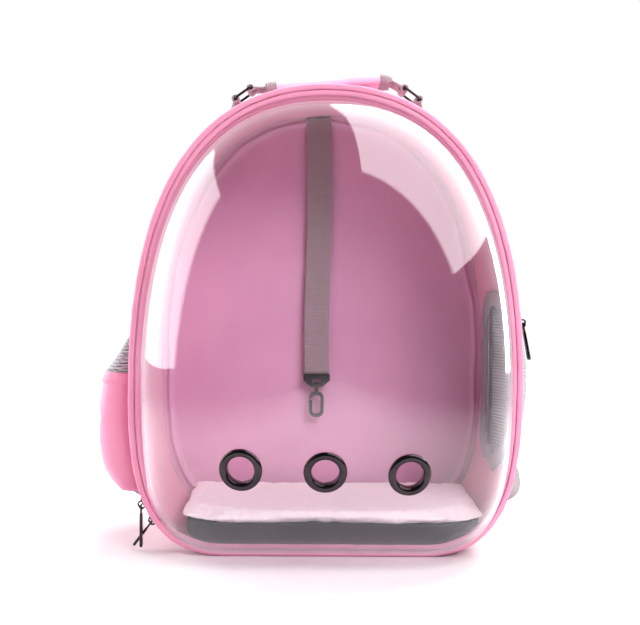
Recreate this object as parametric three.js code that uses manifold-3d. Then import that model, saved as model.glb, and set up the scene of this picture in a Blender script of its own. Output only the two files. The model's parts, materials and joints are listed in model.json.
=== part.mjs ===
// Bubble pet carrier backpack: a clear front dome on a pink cloth gusset, with straps at the back.
// Millimetres, +Z up. The carrier is seen from the front along +Y, so the dome points to -Y.
// The origin lies on the floor, under the middle of the gusset.
import * as THREE from "three";
import Module from "manifold-3d";
import { mergeVertices } from "three/addons/utils/BufferGeometryUtils.js";

const wasm = await Module();
wasm.setup();

// Driving sizes of the bag
const BAG_HEIGHT = 419;
const BAG_WIDTH = 351;
const GUSSET_DEPTH = 165;
const BACK_DRAW_SIDE = 9; // how far each side draws in towards the back
const BACK_DRAW_TOP = 5;
const CLOTH = 2.4; // padded Oxford cloth
const GAP = 0.3; // between pieces that touch
const WALL_GAP = 0.6; // of a piece sewn on the curved gusset
const CURVE_STEPS = 10; // outline points on each curve of a half

// Half of the bag's outline, as shares of the half width and the height.
const OUTLINE_CURVES = [
  { start: [0, 1], startHandle: [0.695, 1], endHandle: [1, 0.752], end: [1, 0.358] },
  { start: [1, 0.358], startHandle: [1, 0.18], endHandle: [0.96, 0], end: [0.5, 0] },
];

// Rim: a cloth band outside, a piping inside it, the dome's flange behind the piping
const RIM_BAND_WIDTH = 5.2;
const RIM_BAND_DEPTH = 10;
const PIPING_DIAMETER = 4.8;
const ZIP_DEPTH = 11;
const ZIP_THICKNESS = 2.2;
const ZIP_INSET = 0.7; // the zip lies this far inside the bag's outline
const RIM_BAND_BEVEL = 1.6;
const PIPING_SET_BACK = 0.4; // behind the rim band's front

// Depths of the layers, from the rim's front face to the gusset's back edge
const RIM_PLANE = -GUSSET_DEPTH / 2;
const HALF_WIDTH = BAG_WIDTH / 2;
const ZIP_START = RIM_PLANE + RIM_BAND_DEPTH + GAP;
const GUSSET_START = ZIP_START + ZIP_DEPTH + GAP;
const GUSSET_END = RIM_PLANE + GUSSET_DEPTH;
const GUSSET_RUN = GUSSET_END - GUSSET_START;
const GUSSET_MIDDLE = (GUSSET_START + GUSSET_END) / 2;

// Dome
const DOME_DEPTH = 116;
const DOME_WALL = 1.6;
const DOME_DROP = 20; // how far the dome's nose lies below the middle of the rim
const DOME_EXPONENT = 2.3; // 2 is an ellipsoid, more is boxier
const DOME_RINGS = 7;
const DOME_NOSE = 0.96; // share of the quarter turn that the last ring reaches
const DOME_BUNCHING = 1.25; // above 1 the rings lie closer near the rim

// Vent rings
const EYELET_HOLE_RADIUS = 10.3;
const EYELET_BARREL_RADIUS = 12.2;
const EYELET_RADIUS = 17.9;
const EYELET_WASHER_RADIUS = 15.5;
const EYELET_CROWN = 3.6;
const EYELET_WASHER = 1.4;
const EYELET_SEAT = 1.3; // room in the ring's groove for the dome's curve
const EYELET_LIFT = 0.45;
const EYELET_SPACING = 0.193 * BAG_WIDTH;
const EYELET_HEIGHT = 0.227 * BAG_HEIGHT;
const EYELET_SHIFT = -2.5;
const EYELET_SIDES = 16;
// The vent rings, with each one's place in spacings and its rise above the middle one
const EYELETS = [
  { name: "eyelet_left", across: -1, rise: 1 }, { name: "eyelet_middle", across: 0, rise: 0 },
  { name: "eyelet_right", across: 1, rise: -2 },
];
// The ring's crown from the hole outwards, as shares of its width and of EYELET_CROWN
const EYELET_CROWN_ROWS = [
  { across: 0, up: 0.42 }, { across: 0.16, up: 0.83 }, { across: 0.45, up: 1 },
  { across: 0.78, up: 0.78 },
  { across: 1, up: 0.3 }, { across: 0.93, up: 0.083 },
];

// Back panel
const BACK_PANEL_THICKNESS = 7;
// Rows from its front to its back: size, as a share of the gusset's edge, and place in thicknesses
const BACK_PANEL_ROWS = [
  { size: 0.3, deep: 0 }, { size: 1, deep: 0 }, { size: 1, deep: 0.6 }, { size: 0.985, deep: 0.9 },
  { size: 0.93, deep: 1 }, { size: 0.5, deep: 1.36 },
];

// Side door, on the right wall: half sizes along the depth and the height
const DOOR_HALF_DEPTH = 0.384 * GUSSET_RUN;
const DOOR_HALF_HEIGHT = 0.186 * BAG_HEIGHT;
const DOOR_HEIGHT = 0.363 * BAG_HEIGHT; // of its middle above the floor
const DOOR_PLACE = GUSSET_MIDDLE - 0.054 * GUSSET_RUN; // of its middle along the depth
const DOOR_ROUND = 3; // exponent of its rounded outline
const DOOR_FRAME_WIDTH = 11;
const DOOR_FRAME_THICKNESS = 2.6;
const DOOR_BULGE = 16;
const DOOR_BULGE_POWER = 2.4; // above 2 the mesh's middle is flatter
const DOOR_MESH_SIZES = [0.2, 0.6, 0.85, 1]; // of the mesh's rows, as shares of its edge
const DOOR_MESH_OVERLAP = 0.25; // share of the frame's width that the mesh's edge leaves bare
const DOOR_STEPS = 24; // points round the door
const MESH_THICKNESS = 1.2;
const BINDING_WIDTH = 15;
const BINDING_INSIDE = 0.6; // share of the binding's width that lies over the opening
const BINDING_THICKNESS = 3;

// Pocket, on the left wall
const POCKET_HALF_DEPTH = 0.405 * GUSSET_RUN;
const POCKET_BOTTOM = 0.122 * BAG_HEIGHT;
const POCKET_HEIGHT = 0.26 * BAG_HEIGHT;
const POCKET_REACH = 38;
const POCKET_CLOTH = 2;
const POCKET_PLACE = GUSSET_MIDDLE - 0.065 * GUSSET_RUN;
const POCKET_MESH_HEIGHT = 0.1 * BAG_HEIGHT;
const POCKET_STEPS = 12;
const POCKET_GAP = 1; // between its sewn edge and the gusset
const POCKET_ROUND = { depth: 0.5, reach: 0.42 }; // exponents, below 1 boxier than an ellipse
const POCKET_MESH_NARROWING = 0.12;
// Height shares of the mesh's rows, outside and inside
const POCKET_MESH_ROWS = { outer: [0, 0.45, 1], inner: [-0.1, 0.45, 0.93] };
// Height share of the pocket, and how much of its reach and of its depth it has there.
const POCKET_ROWS = [
  { up: 0, reach: 0.74, depth: 0.92 },
  { up: 0.07, reach: 0.88, depth: 0.95 },
  { up: 0.2, reach: 0.98, depth: 0.975 },
  { up: 0.42, reach: 1, depth: 1 },
  { up: 0.66, reach: 0.97, depth: 0.985 },
  { up: 0.85, reach: 0.88, depth: 0.97 },
  { up: 1, reach: 0.77, depth: 0.95 },
];

// Pad on the cabin's floor
const PAD_WIDTH = 0.758 * BAG_WIDTH;
const PAD_BACK_GAP = 4.7;
const PAD_DEPTH = GUSSET_END - PAD_BACK_GAP - ZIP_START;
const PAD_TOP = 33;
const PAD_PLUSH = 4.5;
const PAD_SHIFT = 3; // to the right
const PAD_COLUMNS = 11;
const PAD_BUNCHING = 0.92; // share of the quarter turn that spaces its columns, closer at the edges
const PAD_EDGE_RISE = 6; // how far its left and right edges lift
const PAD_EDGE_POWER = 4;
// Rows from the pad's front to its back: place as a share of its depth, and width
const PAD_ROWS = [
  { along: 0, width: 0.97 }, { along: 0.04, width: 1 }, { along: 0.5, width: 1 },
  { along: 0.96, width: 1 }, { along: 1, width: 0.97 },
];

// Leash
const LEASH_WIDTH = 25;
const WEBBING = 1.8;
const LEASH_LENGTH = 0.625 * BAG_HEIGHT;
const LEASH_PLACE = -6;
const LEASH_STAND_OFF = 9; // in front of the back panel
const LEASH_HEAD_ROOM = 2; // under the gusset's top
const LEASH_POINTS = [0, 0.06, 0.5, 1]; // shares of its length
const LEASH_BEND = 12; // exponent of the bend at its sewn end

// Swivel end: it grips the webbing, and its lower bar carries the hook's stem
const SWIVEL_HALF_WIDTH = LEASH_WIDTH / 2 + 1;
const SWIVEL_HEIGHT = 13;
const SWIVEL_BAR = 3;
const SWIVEL_RADIUS = 2; // of the hook's stem
const SWIVEL_CLEARANCE = 0.4;
const SWIVEL_WALL = 1.7; // beside the stem's hole
const SWIVEL_WINDOW = { width: 8.4, height: 5.5, corner: 0.8 };
// Half of its outline from the top: half width as a share, and how far down
const SWIVEL_OUTLINE = [{ wide: 1, down: 0 }, { wide: 1, down: 0.45 }, { wide: 0.42, down: 1 }];
const SWIVEL_HEAD = { radius: 3.4, from: 0.8, height: 1.6 }; // of the stem, above the bar
const STEM_SIDES = 14;

// Snap hook
const HOOK_NECK = 4.5;
const HOOK_HALF_WIDTH = 7.6;
const HOOK_HEIGHT = 26;
const HOOK_WIRE = 3.4;
const HOOK_ROUND = 0.95; // corner radius as a share of the half width
const HOOK_THICKNESS = 4;
const HOOK_STEM_ROOT = 2.1; // how far the stem reaches into the bow
const HOOK_GATE = { down: 0.3, gap: 2.2, tilt: 0.5 }; // place on the bow's height, width, radians

// Top handle: its webbing runs from ring to ring, and each ring hangs in a loop on the gusset.
// A row gives a point of the webbing: across, as a share of the half length, and above the bag's top.
const HANDLE_LENGTH = 144;
const HANDLE_WIDTH = 34;
const HANDLE_PAD_LENGTH = 116;
const HANDLE_PAD_WIDTH = 44;
const HANDLE_PAD_THICKNESS = 12;
const HANDLE_ROWS = [
  { across: -1, rise: 5 }, { across: -0.8, rise: 5.5 }, { across: 0, rise: 10 },
  { across: 0.8, rise: 13.5 }, { across: 1, rise: 6.5 },
];
const RING_WIRE = 2.8;
const RING_LENGTH = 17; // between the middles of its two bars
const RING_FALL = 36; // degrees that the ring slopes down from the handle
const LOOP_HOLE = 2; // radius of a webbing loop round a ring's bar
const LOOP_FOOT = 15; // length of the loop's foot on the gusset
const LOOP_SPREAD = 7; // from the ring's bar to the foot
const LOOP_START = 0.6; // of the foot, in radii of the loop beside the ring's bar
const LOOP_SHARES = [0, 0.25, 0.5, 0.75, 1]; // of the foot's length
const RING_SIDES = 6;
const EYE_SIDES = 16;
const SEAT_REACH = 4; // either side of a point, to measure the gusset's slope
const HANDLE_STEPS = 14;
const HANDLE_PAD_STEPS = 10;

// Shoulder straps
const STRAP_WIDTH = 56;
const STRAP_THICKNESS = 10;
const STRAP_WEBBING_WIDTH = 25;
const ADJUSTER_WIDTH = 34;
const ADJUSTER_BAR = 4;
const ADJUSTER_SLOT = 7.5;
const ADJUSTER_THICKNESS = 3;
const ADJUSTER_CORNER = 3;
const SLOT_CORNER = 0.4;
const STRAP_TAIL = 36; // loose end past the adjuster's middle bar
const STRAP_FULL = 0.44; // share of the length, either side of the middle, with the full width
const STRAP_NARROWING = 0.7; // at the ends
const STRAP_END_THICKNESS = 0.6; // share of the thickness at the ends
const PADDED_ROUND = 0.5; // of a padded strip's long edges
const STRAP_STEPS = { pad: 14, loop: 4, webbing: 9 };
const STRAP_LOOP_STARTS = { left: 1.7, right: 2.5 }; // past the padded part's end
// Points of each strap: across as a share of the half width, up as a share of the height, and behind
// the back panel's edge as a share of the gusset's depth. The right strap hangs down to the floor and
// turns forward, and the left one ends higher, at the side. An adjuster lies from one point to another.
const STRAP_ROUTES = {
  left: {
    pad: [
      [-0.285, 0.921, 0.024], [-0.319, 0.811, 0.085], [-0.422, 0.644, 0.182],
      [-0.63, 0.489, 0.218], [-0.885, 0.358, 0.158], [-1.048, 0.267, 0.085],
    ],
    adjuster: [[-1.15, 0.172, 0.055], [-1.188, 0.131, 0.042]],
    webbing: [[-1.12, 0.086, 0.042], [-0.98, 0.057, 0.042], [-0.78, 0.062, 0.036]],
  },
  right: {
    pad: [
      [0.285, 0.921, 0.024], [0.325, 0.764, 0.097], [0.456, 0.573, 0.206], [0.695, 0.358, 0.291],
      [0.955, 0.167, 0.28], [1.068, 0.075, 0.21], [1.082, 0.04, 0.155], [1.05, 0.031, 0.11],
    ],
    adjuster: [[0.985, 0.11, 0.055], [0.946, 0.143, 0.048]],
    webbing: [[0.855, 0.2, 0.046], [0.752, 0.239, 0.04]],
  },
};

// Zip sliders and pulls
const SLIDER_LENGTH = 11;
const SLIDER_WIDTH = 8.6;
const SLIDER_THICKNESS = 2.8;
const CROWN_HOLE_LENGTH = 5;
const CROWN_HOLE_HEIGHT = 3;
const CROWN_WALL = 1.5;
const CROWN_WIDTH = 2.2;
const CROWN_OFFSET = 3.1; // sideways on the two front sliders, so that their pulls pass each other
const PULL_THICKNESS = 1.7;
const PULL_BAR = 1.6;
const PULL_ARM = 1.5;
const UPPER_PULL_LENGTH = 38;
const LOWER_PULL_LENGTH = 27.5;
const SIDE_PULL_LENGTH = 34;
const UPPER_SLIDER_HEIGHT = 45;
const LOWER_SLIDER_HEIGHT = 30;
const SIDE_SLIDER_RISE = 0.72; // share of the door's half height
const SIDE_SLIDER_OUT = 0.28; // share of the frame's width, out from the door's edge
const SIDE_PULL_HALF_WIDTH = 3.6;
const LOWER_PULL_SWING = 0.64; // radians
const SIDE_PULL_SWING = -0.2;
// Half of a slider's outline from one end: shares of its half length and half width
const SLIDER_OUTLINE = [
  { along: -1, across: 0.6 }, { along: -0.2, across: 1 },
  { along: 0.8, across: 1 }, { along: 1, across: 0.5 },
];
const CROWN_ROOT = 0.6; // share of the slider's thickness at which the crown starts
const CROWN_SHOULDER = 2.1; // from the crown's top down to its upright legs
const CROWN_HOLE_CORNER = 0.6;
const PULL_TAPER = 0.3; // share of the length at which a pull starts to narrow
const PULL_END = 0.6; // share of the half width that rounds its end
const PULL_EYE_ROOM = 1;
const GRIP_HALF_HEIGHT = 3; // of the slot near a pull's end
const GRIP_ROUND = 0.8;
const FRONT_SLIDER_OUT = 0.13; // of a front slider's foot from the bag's outline

const FINISHES = {
  pinkCloth: { color: 0xf4a3c3, roughness: 0.75, metalness: 0 },
  clearPlastic: { color: 0xf6eef4, roughness: 0.05, metalness: 0, transparent: true, opacity: 0.3 },
  gunMetal: { color: 0x4a4548, roughness: 0.25, metalness: 1 },
  greyMesh: { color: 0xa39c9e, roughness: 0.85, metalness: 0 },
  greyCloth: { color: 0x9c9698, roughness: 0.8, metalness: 0 },
  greyWebbing: { color: 0x9d8f92, roughness: 0.8, metalness: 0 },
  darkCloth: { color: 0x565a60, roughness: 0.9, metalness: 0 },
  palePlush: { color: 0xfbe9ea, roughness: 0.95, metalness: 0 },
  blackPlastic: { color: 0x1d1b1d, roughness: 0.4, metalness: 0 },
};

const carrier = new THREE.Group();
carrier.name = "carrier";

// Geometry helpers

function plain(geometry) {
  const copy = geometry.index ? geometry.clone() : mergeVertices(geometry.clone());
  for (const name of Object.keys(copy.attributes)) {
    if (name !== "position") copy.deleteAttribute(name);
  }
  return mergeVertices(copy, 1e-4);
}

function volume(geometry) {
  const at = geometry.attributes.position;
  const corners = [0, 1, 2].map(() => new THREE.Vector3());
  let total = 0;
  for (let i = 0; i < geometry.index.count; i += 3) {
    corners.forEach((corner, k) => corner.fromBufferAttribute(at, geometry.index.getX(i + k)));
    total += corners[0].dot(corners[1].clone().cross(corners[2])) / 6;
  }
  return total;
}

function facingOut(geometry) {
  if (volume(geometry) < 0) {
    const index = geometry.index.array;
    for (let i = 0; i < index.length; i += 3) [index[i], index[i + 1]] = [index[i + 1], index[i]];
  }
  return geometry;
}

function capTriangles(ring) {
  const box = new THREE.Box3().setFromPoints(ring);
  const size = box.getSize(new THREE.Vector3());
  const thin = Math.min(size.x, size.y, size.z);
  const axes = ["x", "y", "z"].filter((axis) => size[axis] !== thin).slice(0, 2);
  const flat = ring.map((point) => new THREE.Vector2(point[axes[0]], point[axes[1]]));
  return THREE.ShapeUtils.triangulateShape(flat, []);
}

// Whether the triangles of a cap run the same way round as its ring
const runsForward = (faces, count) => faces.some(([a, b, c]) => (
  [[a, b], [b, c], [c, a]].some(([from, to]) => to === (from + 1) % count)
));

// Joins rings of equally many points into one closed body. A looped skin joins its last ring to its
// first, and any other is closed by a face at each end.
function skin(rings, looped = false) {
  const count = rings[0].length;
  const index = [];
  const spans = looped ? rings.length : rings.length - 1;
  for (let r = 0; r < spans; r += 1) {
    const here = r * count;
    const next = ((r + 1) % rings.length) * count;
    for (let i = 0; i < count; i += 1) {
      const j = (i + 1) % count;
      index.push(here + i, here + j, next + j, here + i, next + j, next + i);
    }
  }
  if (!looped) {
    const last = (rings.length - 1) * count;
    const first = capTriangles(rings[0]);
    const end = capTriangles(rings[rings.length - 1]);
    const turn = ([a, b, c]) => [a, c, b];
    for (const face of first) index.push(...(runsForward(first, count) ? turn(face) : face));
    for (const face of end) {
      index.push(...(runsForward(end, count) ? face : turn(face)).map((i) => last + i));
    }
  }
  const geometry = new THREE.BufferGeometry();
  const positions = rings.flat().flatMap((point) => [point.x, point.y, point.z]);
  geometry.setAttribute("position", new THREE.Float32BufferAttribute(positions, 3));
  geometry.setIndex(index);
  return facingOut(geometry);
}

function toSolid(geometry) {
  const merged = facingOut(plain(geometry));
  return new wasm.Manifold(new wasm.Mesh({
    numProp: 3,
    vertProperties: Float32Array.from(merged.attributes.position.array),
    triVerts: Uint32Array.from(merged.index.array),
  }));
}

function toGeometry(solid) {
  const mesh = solid.getMesh();
  const geometry = new THREE.BufferGeometry();
  geometry.setAttribute("position", new THREE.BufferAttribute(mesh.vertProperties, 3));
  geometry.setIndex(new THREE.BufferAttribute(mesh.triVerts, 1));
  return geometry;
}

const cut = (base, ...tools) => toGeometry(
  tools.reduce((solid, tool) => solid.subtract(toSolid(tool)), toSolid(base)),
);
const join = (base, ...others) => toGeometry(
  others.reduce((solid, other) => solid.add(toSolid(other)), toSolid(base)),
);

function add(name, geometry, finish, parent = carrier) {
  const material = new THREE.MeshStandardMaterial(FINISHES[finish]);
  const mesh = new THREE.Mesh(facingOut(plain(geometry)), material);
  mesh.name = name;
  parent.add(mesh);
  return mesh;
}

// A flat plate: the shape's x and y become y and z, and its thickness lies along x, round the middle.
function uprightPlate(shape, thickness) {
  const geometry = new THREE.ExtrudeGeometry(
    shape, { depth: thickness, bevelEnabled: false, curveSegments: 4 },
  );
  geometry.translate(0, 0, -thickness / 2);
  const [x, y, z] = [[1, 0, 0], [0, 1, 0], [0, 0, 1]].map((axis) => new THREE.Vector3(...axis));
  return geometry.applyMatrix4(new THREE.Matrix4().makeBasis(y, z, x));
}

// A flat plate in the x and z plane, its thickness along y, round the middle.
function facingPlate(shape, thickness, segments = 4) {
  const geometry = new THREE.ExtrudeGeometry(
    shape, { depth: thickness, bevelEnabled: false, curveSegments: segments },
  );
  geometry.translate(0, 0, -thickness / 2);
  return geometry.rotateX(Math.PI / 2);
}

// A round bar along z
function upright(radius, from, to) {
  return new THREE.CylinderGeometry(radius, radius, to - from, STEM_SIDES)
    .rotateX(Math.PI / 2).translate(0, 0, (from + to) / 2);
}

function rounded(shape, halfWidth, halfHeight, radius, x = 0, y = 0) {
  shape.moveTo(x - halfWidth + radius, y - halfHeight);
  shape.lineTo(x + halfWidth - radius, y - halfHeight);
  shape.quadraticCurveTo(x + halfWidth, y - halfHeight, x + halfWidth, y - halfHeight + radius);
  shape.lineTo(x + halfWidth, y + halfHeight - radius);
  shape.quadraticCurveTo(x + halfWidth, y + halfHeight, x + halfWidth - radius, y + halfHeight);
  shape.lineTo(x - halfWidth + radius, y + halfHeight);
  shape.quadraticCurveTo(x - halfWidth, y + halfHeight, x - halfWidth, y + halfHeight - radius);
  shape.lineTo(x - halfWidth, y - halfHeight + radius);
  shape.quadraticCurveTo(x - halfWidth, y - halfHeight, x - halfWidth + radius, y - halfHeight);
  return shape;
}

// The bag's outline, as points with their outward normals

function halfOutline() {
  const path = new THREE.CurvePath();
  for (const curve of OUTLINE_CURVES) {
    const points = [curve.start, curve.startHandle, curve.endHandle, curve.end]
      .map(([x, z]) => new THREE.Vector2(x * HALF_WIDTH, z * BAG_HEIGHT));
    path.add(new THREE.CubicBezierCurve(...points));
  }
  const flatEnd = OUTLINE_CURVES[1].end[0] * HALF_WIDTH;
  path.add(new THREE.LineCurve(new THREE.Vector2(flatEnd, 0), new THREE.Vector2(0, 0)));
  return path.getPoints(CURVE_STEPS);
}

const OUTLINE = (() => {
  const half = halfOutline();
  const mirrored = half.slice(1, -1).reverse().map((point) => new THREE.Vector2(-point.x, point.y));
  const points = [...half, ...mirrored];
  return points.map((point, i) => {
    const before = points[(i + points.length - 1) % points.length];
    const after = points[(i + 1) % points.length];
    const along = after.clone().sub(before).normalize();
    return { point, normal: new THREE.Vector2(-along.y, along.x).multiplyScalar(-1) };
  }).map(({ point, normal }) => {
    const centre = new THREE.Vector2(0, BAG_HEIGHT / 2);
    const outward = normal.dot(point.clone().sub(centre)) > 0 ? normal : normal.negate();
    return { point, normal: outward };
  });
})();

// The gusset draws in towards the back, but its bottom stays flat on the floor.
function drawIn(y) {
  const share = Math.max(0, (y - GUSSET_START) / (GUSSET_END - GUSSET_START));
  return { x: 1 - (share * BACK_DRAW_SIDE) / HALF_WIDTH, z: 1 - (share * BACK_DRAW_TOP) / BAG_HEIGHT };
}

function outlineRing(y, inset) {
  const scale = drawIn(y);
  return OUTLINE.map(({ point, normal }) => new THREE.Vector3(
    (point.x - normal.x * inset) * scale.x, y, (point.y - normal.y * inset) * scale.z,
  ));
}

// A band all round the bag. Each corner of its section has an inset from the outline and a depth.
const band = (section) => skin(section.map(({ inset, y }) => outlineRing(y, inset)), true);

function roundSection(inset, y, radius, sides) {
  return Array.from({ length: sides }, (_, i) => {
    const angle = (2 * Math.PI * (i + 0.5)) / sides;
    return { inset: inset + radius * Math.cos(angle), y: y + radius * Math.sin(angle) };
  });
}

// Half width of the gusset's outside at a height and depth
function wallX(y, z) {
  const scale = drawIn(y);
  const level = z / scale.z;
  const right = OUTLINE.filter(({ point }) => point.x > 0).map(({ point }) => point);
  for (let i = 0; i < right.length - 1; i += 1) {
    const [high, low] = [right[i], right[i + 1]];
    if (level <= high.y && level >= low.y && high.y > low.y) {
      return scale.x * THREE.MathUtils.mapLinear(level, low.y, high.y, low.x, high.x);
    }
  }
  return scale.x * HALF_WIDTH;
}

const onWall = (side, y, z, out) => new THREE.Vector3(side * (wallX(y, z) + out), y, z);

// First point of a mesh that a ray meets
function hit(mesh, from, towards) {
  mesh.updateWorldMatrix(true, false);
  const ray = new THREE.Raycaster(from, towards.clone().normalize());
  const found = ray.intersectObject(mesh)[0];
  return found ? found.point : null;
}

// A flat strip along a path. across gives the strip's width direction at each point.
// A strip with no rounding has square edges.
function strip(path, { width, thickness, across, round = 0, ends = 1 }) {
  const rings = path.map((point, i) => {
    const before = path[Math.max(0, i - 1)];
    const after = path[Math.min(path.length - 1, i + 1)];
    const along = after.clone().sub(before).normalize();
    const side = across(along, i / (path.length - 1)).normalize();
    const up = side.clone().cross(along).normalize();
    const wide = typeof width === "function" ? width(i / (path.length - 1)) : width;
    const atEnd = i === 0 || i === path.length - 1;
    const thick = thickness * (atEnd ? ends : 1);
    const edge = 1 - 2 * round * (thickness / wide);
    const corners = round === 0 ? [[1, 1], [-1, 1], [-1, -1], [1, -1]] : [
      [1, round], [edge, 1], [-edge, 1], [-1, round], [-1, -round], [-edge, -1], [edge, -1], [1, -round],
    ];
    return corners.map(([a, b]) => point.clone()
      .addScaledVector(side, (a * wide) / 2).addScaledVector(up, (b * thick) / 2));
  });
  return skin(rings);
}

// Rim and zip

function rimBandSection() {
  const back = RIM_PLANE + RIM_BAND_DEPTH;
  return [
    { inset: 0, y: RIM_PLANE + RIM_BAND_BEVEL }, { inset: 0, y: back },
    { inset: RIM_BAND_WIDTH, y: back }, { inset: RIM_BAND_WIDTH, y: RIM_PLANE + RIM_BAND_BEVEL },
    { inset: RIM_BAND_WIDTH - RIM_BAND_BEVEL, y: RIM_PLANE }, { inset: RIM_BAND_BEVEL, y: RIM_PLANE },
  ];
}

const PIPING_INSET = RIM_BAND_WIDTH + GAP + PIPING_DIAMETER / 2;
const PIPING_PLACE = RIM_PLANE + PIPING_DIAMETER / 2 + PIPING_SET_BACK;
const FLANGE_FRONT = PIPING_PLACE + PIPING_DIAMETER / 2 + GAP;
const DOME_INSET = RIM_BAND_WIDTH + PIPING_DIAMETER + 2 * GAP;
const ZIP_SECTION = [
  { inset: ZIP_INSET, y: ZIP_START }, { inset: ZIP_INSET, y: ZIP_START + ZIP_DEPTH },
  { inset: ZIP_INSET + ZIP_THICKNESS, y: ZIP_START + ZIP_DEPTH },
  { inset: ZIP_INSET + ZIP_THICKNESS, y: ZIP_START },
];

add("rim_band", band(rimBandSection()), "pinkCloth");
add("rim_piping", band(roundSection(PIPING_INSET, PIPING_PLACE, PIPING_DIAMETER / 2, 5)), "pinkCloth");
add("front_zip", band(ZIP_SECTION), "pinkCloth");

// Dome: an outer and an inner surface from the flange to the nose

function domeRing(turn, wall) {
  const scale = Math.cos(turn) ** (2 / DOME_EXPONENT);
  const forward = Math.sin(turn) ** (2 / DOME_EXPONENT);
  const middle = BAG_HEIGHT / 2 - DOME_DROP * forward;
  const y = FLANGE_FRONT + wall - forward * DOME_DEPTH;
  return OUTLINE.map(({ point, normal }) => {
    const inset = DOME_INSET + wall;
    const x = point.x - normal.x * inset;
    const z = point.y - normal.y * inset;
    return new THREE.Vector3(x * scale, y, middle + (z - BAG_HEIGHT / 2) * scale);
  });
}

function dome() {
  const turns = Array.from({ length: DOME_RINGS }, (_, i) => (
    (Math.PI / 2) * DOME_NOSE * (1 - i / DOME_RINGS) ** DOME_BUNCHING
  ));
  const flange = [
    outlineRing(FLANGE_FRONT, DOME_INSET), outlineRing(FLANGE_FRONT, RIM_BAND_WIDTH + GAP),
    outlineRing(FLANGE_FRONT + DOME_WALL, RIM_BAND_WIDTH + GAP),
    outlineRing(FLANGE_FRONT + DOME_WALL, DOME_INSET + DOME_WALL),
  ];
  const outer = turns.map((turn) => domeRing(turn, 0));
  const inner = turns.map((turn) => domeRing(turn, DOME_WALL)).reverse();
  return skin([...outer, ...flange, ...inner]);
}

const domeSkin = new THREE.Mesh(dome(), new THREE.MeshBasicMaterial());
domeSkin.updateMatrixWorld();

// Where a vent ring sits: the plane through four points of the dome round its middle
function eyeletSeat(x, z) {
  const ahead = new THREE.Vector3(0, 1, 0);
  const far = RIM_PLANE - 2 * DOME_DEPTH;
  const at = (dx, dz) => hit(domeSkin, new THREE.Vector3(x + dx, far, z + dz), ahead);
  const reach = EYELET_BARREL_RADIUS;
  const [left, right, low, high] = [at(-reach, 0), at(reach, 0), at(0, -reach), at(0, reach)];
  const normal = right.clone().sub(left).cross(high.clone().sub(low)).normalize();
  const point = left.clone().add(right).add(low).add(high).multiplyScalar(1 / 4);
  return { point, normal };
}

function eyelet() {
  const span = EYELET_RADIUS - EYELET_HOLE_RADIUS;
  const under = -(DOME_WALL + GAP + EYELET_SEAT);
  const crown = EYELET_CROWN_ROWS
    .map(({ across, up }) => new THREE.Vector2(EYELET_HOLE_RADIUS + across * span, up * EYELET_CROWN));
  const profile = [
    new THREE.Vector2(EYELET_HOLE_RADIUS, under - EYELET_WASHER), ...crown,
    new THREE.Vector2(EYELET_BARREL_RADIUS, GAP),
    new THREE.Vector2(EYELET_BARREL_RADIUS, under), new THREE.Vector2(EYELET_WASHER_RADIUS, under),
    new THREE.Vector2(EYELET_WASHER_RADIUS, under - EYELET_WASHER),
  ];
  return new THREE.LatheGeometry([...profile, profile[0].clone()], EYELET_SIDES);
}

const ventHoles = EYELETS.map(({ name, across, rise }) => {
  const { point, normal } = eyeletSeat(EYELET_SHIFT + across * EYELET_SPACING, EYELET_HEIGHT + rise);
  const turn = new THREE.Quaternion().setFromUnitVectors(new THREE.Vector3(0, 1, 0), normal);
  const ring = add(name, eyelet(), "gunMetal");
  ring.position.copy(point).addScaledVector(normal, EYELET_LIFT);
  ring.quaternion.copy(turn);
  const hole = new THREE.CylinderGeometry(
    EYELET_BARREL_RADIUS + GAP, EYELET_BARREL_RADIUS + GAP, 8 * DOME_WALL, EYELET_SIDES,
  );
  return hole.applyQuaternion(turn).translate(...point.toArray());
});
add("bubble", cut(dome(), ...ventHoles), "clearPlastic");

// Gusset, with the side door's hole

const doorLoop = (halfDepth, halfHeight) => Array.from({ length: DOOR_STEPS }, (_, i) => {
  const angle = (2 * Math.PI * i) / DOOR_STEPS;
  const bend = (value) => Math.sign(value) * Math.abs(value) ** (2 / DOOR_ROUND);
  const y = DOOR_PLACE + halfDepth * bend(Math.cos(angle));
  return { y, z: DOOR_HEIGHT + halfHeight * bend(Math.sin(angle)) };
});

// From inside the cabin to outside the wall
function doorHole() {
  const loop = doorLoop(DOOR_HALF_DEPTH, DOOR_HALF_HEIGHT);
  const ends = [HALF_WIDTH / 2, HALF_WIDTH + POCKET_REACH];
  return skin(ends.map((x) => loop.map(({ y, z }) => new THREE.Vector3(x, y, z))));
}

const GUSSET_SECTION = [
  { inset: 0, y: GUSSET_START }, { inset: 0, y: 0 }, { inset: 0, y: GUSSET_END },
  { inset: CLOTH, y: GUSSET_END }, { inset: CLOTH, y: 0 }, { inset: CLOTH, y: GUSSET_START },
];
const gussetMesh = add("gusset", cut(band(GUSSET_SECTION), doorHole()), "pinkCloth");

// Back panel: a padded plate that closes the gusset's back edge

function backPanel() {
  const front = GUSSET_END + GAP;
  const edge = outlineRing(GUSSET_END, 0);
  return skin(BACK_PANEL_ROWS.map(({ size, deep }) => edge.map((point) => new THREE.Vector3(
    point.x * size, front + deep * BACK_PANEL_THICKNESS,
    BAG_HEIGHT / 2 + (point.z - BAG_HEIGHT / 2) * size,
  ))));
}
add("back_panel", backPanel(), "pinkCloth");

// Side door: a frame with the zip, a mesh that bulges from it, and a binding inside the cabin

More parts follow.
